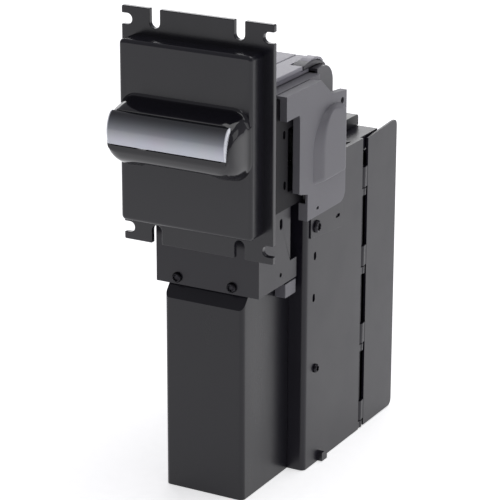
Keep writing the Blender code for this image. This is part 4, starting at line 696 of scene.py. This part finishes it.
PLATE_FACE = 38.75
WALL_FACE = 37.8
for word, x in (("left", -20.0), ("right", 16.6)):
    pan_head(f"bracket_screw_head_{word}", f"bracket_screw_{word}", (x, 10.4, 131.6), (0, -1, 0),
             3.1, 2.1, 1.5, 5.8)
for word, side in (("right", 1), ("left", -1)):
    pan_head(f"plate_screw_{word}", f"side_screw_upper_{word}", (side * (PLATE_FACE + 0.15), 73.6, 154.3),
             (side, 0, 0), 3.9, 1.85, 1.5, 5.6)
    pan_head(f"wall_screw_{word}", f"side_screw_lower_{word}", (side * (WALL_FACE + 0.15), 75.7, 63.0),
             (side, 0, 0), 2.8, 1.85, 1.5, 4.8)
    pan_head(f"sunk_screw_{word}", f"cover_screw_{word}", (side * COVER_BACK, *COVER_SCREW),
             (side, 0, 0), 1.7, 1.1, 1.1, 2.9)

# ------------------------------------------------------------------ drive
# Under the right cover the motor's pinion turns the drum gear; the drums and the front
# pulleys carry two flat belts that pull the note along and round to the stacker.
plated, tree, out = finish_of("zinc_plated_steel")
# Bright zinc: a cool grey metal with fine turning marks and a slightly uneven passivation.
spot = node(tree, "ShaderNodeTexCoord")
rings_cut = node(tree, "ShaderNodeTexWave", {"wave_type": "BANDS", "bands_direction": "X", "Scale": 900.0,
                                          "Distortion": 0.6}, {"Vector": spot.outputs["Object"]})
bloom = node(tree, "ShaderNodeTexNoise", {"Scale": 120.0, "Detail": 4.0},
             {"Vector": spot.outputs["Object"]})
passivated = node(tree, "ShaderNodeMixRGB", {1: linear("#A3A6A8"), 2: linear("#BFC1BD")},
                  {0: bloom.outputs["Fac"]})
turned_gloss = node(tree, "ShaderNodeMapRange", {"To Min": 0.26, "To Max": 0.40},
                    {"Value": rings_cut.outputs["Fac"]})
shell = node(tree, "ShaderNodeBsdfPrincipled", {"Metallic": 1.0},
             {"Base Color": passivated.outputs[0], "Roughness": turned_gloss.outputs[0]})
tree.links.new(shell.outputs[0], out.inputs[0])

rubbery, tree, out = finish_of("ground_nitrile_rubber")
# Ground nitrile: dull dark grey with a fine cross grain from grinding.
spot = node(tree, "ShaderNodeTexCoord")
ground = node(tree, "ShaderNodeTexNoise", {"Scale": 1300.0, "Detail": 4.0},
              {"Vector": spot.outputs["Object"]})
dusty = node(tree, "ShaderNodeMixRGB", {1: linear("#3A3A3B"), 2: linear("#4A4A4A")},
             {0: ground.outputs["Fac"]})
scuffed = node(tree, "ShaderNodeBump", {"Strength": 0.3, "Distance": 0.00008},
               {"Height": ground.outputs["Fac"]})
shell = node(tree, "ShaderNodeBsdfPrincipled", {"Roughness": 0.8, "IOR": 1.5},
             {"Base Color": dusty.outputs[0], "Normal": scuffed.outputs[0]})
tree.links.new(shell.outputs[0], out.inputs[0])

belting, tree, out = finish_of("woven_polyurethane_belt")
# Coated belting: near black, with the weave of its core, 0.8 mm apart, showing through.
spot = node(tree, "ShaderNodeTexCoord")
weave = node(tree, "ShaderNodeTexBrick", {"Scale": 625.0, "Mortar Size": 0.1, "Color1": linear("#2C2C2D"),
                                        "Color2": linear("#242425"), "Mortar": linear("#171718")},
             {"Vector": spot.outputs["Object"]})
woven = node(tree, "ShaderNodeBump", {"Strength": 0.35, "Distance": 0.0001},
             {"Height": weave.outputs["Fac"]})
shell = node(tree, "ShaderNodeBsdfPrincipled", {"Roughness": 0.55, "IOR": 1.5},
             {"Base Color": weave.outputs["Color"], "Normal": woven.outputs[0]})
tree.links.new(shell.outputs[0], out.inputs[0])

acetal, tree, out = finish_of("natural_acetal")
# Acetal: slippery off-white, a little translucent at the teeth, with a waxy soft gloss.
spot = node(tree, "ShaderNodeTexCoord")
wax = node(tree, "ShaderNodeTexNoise", {"Scale": 260.0, "Detail": 3.0},
           {"Vector": spot.outputs["Object"]})
milky = node(tree, "ShaderNodeMixRGB", {1: linear("#D8D5CB"), 2: linear("#E4E2DA")},
             {0: wax.outputs["Fac"]})
waxy = node(tree, "ShaderNodeMapRange", {"To Min": 0.30, "To Max": 0.42}, {"Value": wax.outputs["Fac"]})
shell = node(tree, "ShaderNodeBsdfPrincipled",
             {"IOR": 1.48, "Subsurface Weight": 0.08, "Subsurface Scale": 0.001},
             {"Base Color": milky.outputs[0], "Roughness": waxy.outputs[0]})
tree.links.new(shell.outputs[0], out.inputs[0])

carried(["drum_shaft", "front_shaft", "pinch_shaft_front", "pinch_shaft_rear", "upper_hinge_pin_left",
         "upper_hinge_pin_right"], plated)
carried(["drive_motor", "stack_motor"], plated, 0.4)
carried(["drum_left", "drum_right", "pulley_left", "pulley_right", "pinch_roller_front_left",
         "pinch_roller_front_right", "pinch_roller_rear_left", "pinch_roller_rear_right"], rubbery, 0.25)
carried(["belt_left", "belt_right"], belting)
carried(["drum_gear", "motor_pinion", "pusher_shaft"], acetal)

# ------------------------------------------------------------------ upper unit
# The upper half of the note path, hinged behind the flange: a grey moulded housing, a
# light grey top cover that stands over its edge, and the rounded elbow round the drums.
light_abs, tree, out = finish_of("light_grey_abs")
# Light grey ABS with a satin skin and slight sink marks along its ribs.
spot = node(tree, "ShaderNodeTexCoord")
skin_grain = node(tree, "ShaderNodeTexNoise", {"Scale": 1400.0, "Detail": 3.0},
                  {"Vector": spot.outputs["Object"]})
sink = node(tree, "ShaderNodeTexNoise", {"Scale": 30.0, "Detail": 2.0},
            {"Vector": spot.outputs["Object"]})
pale = node(tree, "ShaderNodeMixRGB", {1: linear("#96949C"), 2: linear("#9E9DA4")},
            {0: sink.outputs["Fac"]})
satin = node(tree, "ShaderNodeMapRange", {"To Min": 0.36, "To Max": 0.50},
             {"Value": skin_grain.outputs["Fac"]})
fine = node(tree, "ShaderNodeBump", {"Strength": 0.1, "Distance": 0.00005},
            {"Height": skin_grain.outputs["Fac"]})
shell = node(tree, "ShaderNodeBsdfPrincipled", {"IOR": 1.53},
             {"Base Color": pale.outputs[0], "Roughness": satin.outputs[0], "Normal": fine.outputs[0]})
tree.links.new(shell.outputs[0], out.inputs[0])

dark_abs, tree, out = finish_of("dark_grey_abs")
# Dark grey ABS for the parts that slide and swing: smooth, with light scuffs along them.
spot = node(tree, "ShaderNodeTexCoord")
stretched = node(tree, "ShaderNodeMapping", {"Scale": (1.0, 0.12, 1.0)},
                 {"Vector": spot.outputs["Object"]})
scuff = node(tree, "ShaderNodeTexNoise", {"Scale": 420.0, "Detail": 4.0},
             {"Vector": stretched.outputs[0]})
scuff_tone = node(tree, "ShaderNodeMixRGB", {1: linear("#38373C"), 2: linear("#444348")},
                  {0: scuff.outputs["Fac"]})
scuff_gloss = node(tree, "ShaderNodeMapRange", {"To Min": 0.30, "To Max": 0.46},
                   {"Value": scuff.outputs["Fac"]})
shell = node(tree, "ShaderNodeBsdfPrincipled", {"IOR": 1.53},
             {"Base Color": scuff_tone.outputs[0], "Roughness": scuff_gloss.outputs[0]})
tree.links.new(shell.outputs[0], out.inputs[0])

carried(["upper_housing"], cover_abs, 0.25)
carried(["upper_top_cover"], light_abs, 0.5)

def merged(first, *others):
    """One bmesh that holds several closed shells of the same moulding."""
    for bm in others:
        held = bpy.data.meshes.new("held")
        bm.to_mesh(held)
        bm.free()
        first.from_mesh(held)
        bpy.data.meshes.remove(held)
    return first


DRUM_AXIS = (87.5, 203.0)
ELBOW_TURN = (95.0, 235.1)     # centre of the round at its top
ELBOW_ROUND = 11.5
ELBOW_WALL = 1.6
ELBOW_REAR = 106.5
ELBOW_FOOT = 196.0
guide = list(reversed(arc(*DRUM_AXIS, 17.3, 4, 88, 22)))
outside = [(ELBOW_REAR, ELBOW_FOOT)] + arc(*ELBOW_TURN, ELBOW_ROUND, 0, 90, 16) + [(86.3, 246.6)]
inside = [(86.3, 245.0)] + list(reversed(arc(*ELBOW_TURN, ELBOW_ROUND - ELBOW_WALL, 0, 90, 16)))
inside += [(ELBOW_REAR - ELBOW_WALL, ELBOW_FOOT)]
end_wall = outside + [(86.3, 220.4)] + guide + [(104.8, 203.0), (104.8, ELBOW_FOOT)]
guide_skin = guide + arc(*DRUM_AXIS, 18.9, 4, 88, 22)
elbow = piece("elbow_moulding", merged(extruded(outside + inside, "X", -31.5, 29.9),
                                       extruded(guide_skin, "X", -31.5, 29.9),
                                       extruded(end_wall, "X", 29.9, 31.5)), dark_abs, 50)
eased(elbow, 0.4, 2, 50.0)
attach(elbow, "upper_unit")
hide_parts("rear_elbow")

# ------------------------------------------------------------------ latch
# A sprung lever of dark plastic that lies in a slot of the top cover and hooks down behind
# the elbow, with a light grey push pad that a finger presses to free the upper unit.
lever_loop = [(76.6, 247.3), (94.6, 247.3)] + list(reversed(arc(*ELBOW_TURN, 12.1, 44, 44, 10)))
lever_loop += arc(*ELBOW_TURN, 13.9, 44, 34, 10) + [(92.0, 250.7), (84.0, 250.7), (76.6, 249.4)]
lever = piece("latch_lever", extruded(lever_loop, "X", 19.6, 27.4), dark_abs, 50)
eased(lever, 0.35, 2, 50.0)
pad_loop = [(84.6, 250.6), (88.0, 251.6), (95.4, 251.6), (99.8, 250.3), (103.0, 247.6), (101.8, 246.6),
            (98.6, 249.0), (94.8, 250.2), (84.6, 250.2)]
pad = piece("latch_pad", extruded(pad_loop, "X", 20.3, 26.7), light_abs, 50)
eased(pad, 0.35, 2, 40.0)
for latch_part in (lever, pad):
    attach(latch_part, "latch")
    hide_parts("upper_latch")

# ------------------------------------------------------------------ bracket and front box
# The bracket is 1.2 mm sheet steel, folded at its front corners and powder coated. The
# box under it is moulded in black, with draft in its walls and a shoulder at its top.
coated, tree, out = finish_of("powder_coated_steel")
# Black powder coat: a close orange peel of about 1 mm, satin, lifting the light evenly off
# the flat walls, with a faint dust on it.
spot = node(tree, "ShaderNodeTexCoord")
peel = node(tree, "ShaderNodeTexNoise", {"Scale": 850.0, "Detail": 2.0},
            {"Vector": spot.outputs["Object"]})
dust = node(tree, "ShaderNodeTexNoise", {"Scale": 26.0, "Detail": 5.0, "Roughness": 0.65},
            {"Vector": spot.outputs["Object"]})
dusted = node(tree, "ShaderNodeMixRGB", {1: linear("#15131B"), 2: linear("#1A1821")},
              {0: dust.outputs["Fac"]})
coat_gloss = node(tree, "ShaderNodeMapRange",
                  {"From Min": 0.3, "From Max": 0.7, "To Min": 0.28, "To Max": 0.36},
                  {"Value": dust.outputs["Fac"]})
peeled = node(tree, "ShaderNodeBump", {"Strength": 0.10, "Distance": 0.00008},
              {"Height": peel.outputs["Fac"]})
shell = node(tree, "ShaderNodeBsdfPrincipled", {"IOR": 1.46},
             {"Base Color": dusted.outputs[0], "Roughness": coat_gloss.outputs[0],
              "Normal": peeled.outputs[0]})
tree.links.new(shell.outputs[0], out.inputs[0])

satin_black, tree, out = finish_of("satin_black_abs")
# Satin black ABS: dark, with a soft broad reflection that runs down the tall flat faces, from its gloss and
# from painted reflection streaks in its colour, stretched upright.
spot = node(tree, "ShaderNodeTexCoord")
upright_stretch = node(tree, "ShaderNodeMapping", {"Scale": (1.0, 1.0, 0.25)},
                  {"Vector": spot.outputs["Object"]})
streak = node(tree, "ShaderNodeTexNoise", {"Scale": 60.0, "Detail": 4.0},
              {"Vector": upright_stretch.outputs[0]})
# Painted reflection: the colour is a little lighter in upright streaks.
painted_reflection_streak_tone = node(tree, "ShaderNodeMixRGB", {1: linear("#100F16"), 2: linear("#15141B")},
                   {0: streak.outputs["Fac"]})
streak_gloss = node(tree, "ShaderNodeMapRange",
                    {"From Min": 0.3, "From Max": 0.7, "To Min": 0.26, "To Max": 0.33},
                    {"Value": streak.outputs["Fac"]})
speck = node(tree, "ShaderNodeTexNoise", {"Scale": 1700.0, "Detail": 2.0},
             {"Vector": spot.outputs["Object"]})
specked = node(tree, "ShaderNodeBump", {"Strength": 0.07, "Distance": 0.00005},
               {"Height": speck.outputs["Fac"]})
shell = node(tree, "ShaderNodeBsdfPrincipled", {"IOR": 1.46},
             {"Base Color": painted_reflection_streak_tone.outputs[0], "Roughness": streak_gloss.outputs[0],
              "Normal": specked.outputs[0]})
tree.links.new(shell.outputs[0], out.inputs[0])

carried(["lower_bracket"], coated, 0.4)
carried(["lower_box"], satin_black, 0.7, 25.0)

# ------------------------------------------------------------------ connector and transformer
# The harness plugs into a nylon housing under the bracket. In the box stand the power
# board's transformer, a stack of varnished laminations, and its parts.
nylon, tree, out = finish_of("natural_nylon_connector")
# Moulded nylon: pale grey, slightly greasy gloss, fine tool marks.
spot = node(tree, "ShaderNodeTexCoord")
tool_mark = node(tree, "ShaderNodeTexNoise", {"Scale": 500.0, "Detail": 3.0},
                 {"Vector": spot.outputs["Object"]})
nylon_tone = node(tree, "ShaderNodeMixRGB", {1: linear("#55545A"), 2: linear("#626167")},
                  {0: tool_mark.outputs["Fac"]})
shell = node(tree, "ShaderNodeBsdfPrincipled", {"Roughness": 0.42, "IOR": 1.53},
             {"Base Color": nylon_tone.outputs[0]})
tree.links.new(shell.outputs[0], out.inputs[0])
carried(["side_connector"], nylon, 0.35)

laminated, tree, out = finish_of("varnished_laminations")
# Laminations 0.5 mm thick, drawn at 1 mm so that they show, under brown insulating varnish.
spot = node(tree, "ShaderNodeTexCoord")
plies = node(tree, "ShaderNodeTexWave", {"wave_type": "BANDS", "bands_direction": "Y", "Scale": 160.0},
             {"Vector": spot.outputs["Object"]})
ply_tone = node(tree, "ShaderNodeMixRGB", {1: linear("#3A2C22"), 2: linear("#5A4A3C")},
                {0: plies.outputs["Fac"]})
ply_rise = node(tree, "ShaderNodeBump", {"Strength": 0.5, "Distance": 0.0001},
                {"Height": plies.outputs["Fac"]})
shell = node(tree, "ShaderNodeBsdfPrincipled", {"Roughness": 0.35, "IOR": 1.55},
             {"Base Color": ply_tone.outputs[0], "Normal": ply_rise.outputs[0]})
tree.links.new(shell.outputs[0], out.inputs[0])
carried(["power_transformer"], laminated, 0.4)

# ------------------------------------------------------------------ stacker
# A box folded from powder-coated sheet steel, with round and oval fixing holes, a
# stiffening plate on each side, and inside it the rails, the pusher and its racks.
carried(["stacker_body"], coated, 0.4)
carried(["side_plate_right", "side_plate_left", "magazine_rail_left", "magazine_rail_right"], coated, 0.2)
carried(["pusher_plate"], satin_black, 0.2)

# ------------------------------------------------------------------ rear door
# A deep tray of the same steel, hung on four rolled knuckles and a long pin. Inside it a
# plate on two coil springs presses the notes forward. A sprung block on top frees it.
carried(["rear_door"], coated, 0.4)
carried(["pressure_plate"], satin_black, 0.4)


def coil(name, hidden, z):
    """A spring of round wire along Y, its end turns closed."""
    front, rear, turns, around = 123.1, 180.9, 6.5, 28
    coil_radius, wire_radius, wire_sides = 8.0, 0.68, 8
    count = int(turns * around)
    rings = []
    for i in range(count + 1):
        angle = 2 * math.pi * i / around
        share = i / count
        y = front + (rear - front) * (share - 0.8 * math.sin(2 * math.pi * share) / (2 * math.pi))
        ring = []
        for k in range(wire_sides):
            turn = 2 * math.pi * k / wire_sides
            reach = coil_radius + wire_radius * math.cos(turn)
            ring.append((reach * math.cos(angle), y + wire_radius * math.sin(turn),
                         z + reach * math.sin(angle)))
        rings.append(ring)
    spring = piece(name, skin(rings), plated, 60.0)
    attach(spring, "door")
    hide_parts(hidden)
    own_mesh(spring)


coil("spring_lower", "pressure_spring_lower", 51.975)
coil("spring_upper", "pressure_spring_upper", 132.825)
carried(["door_hinge_pin"], black_screw)
carried(["door_release"], satin_black, 0.5)

bpy.context.view_layer.update()
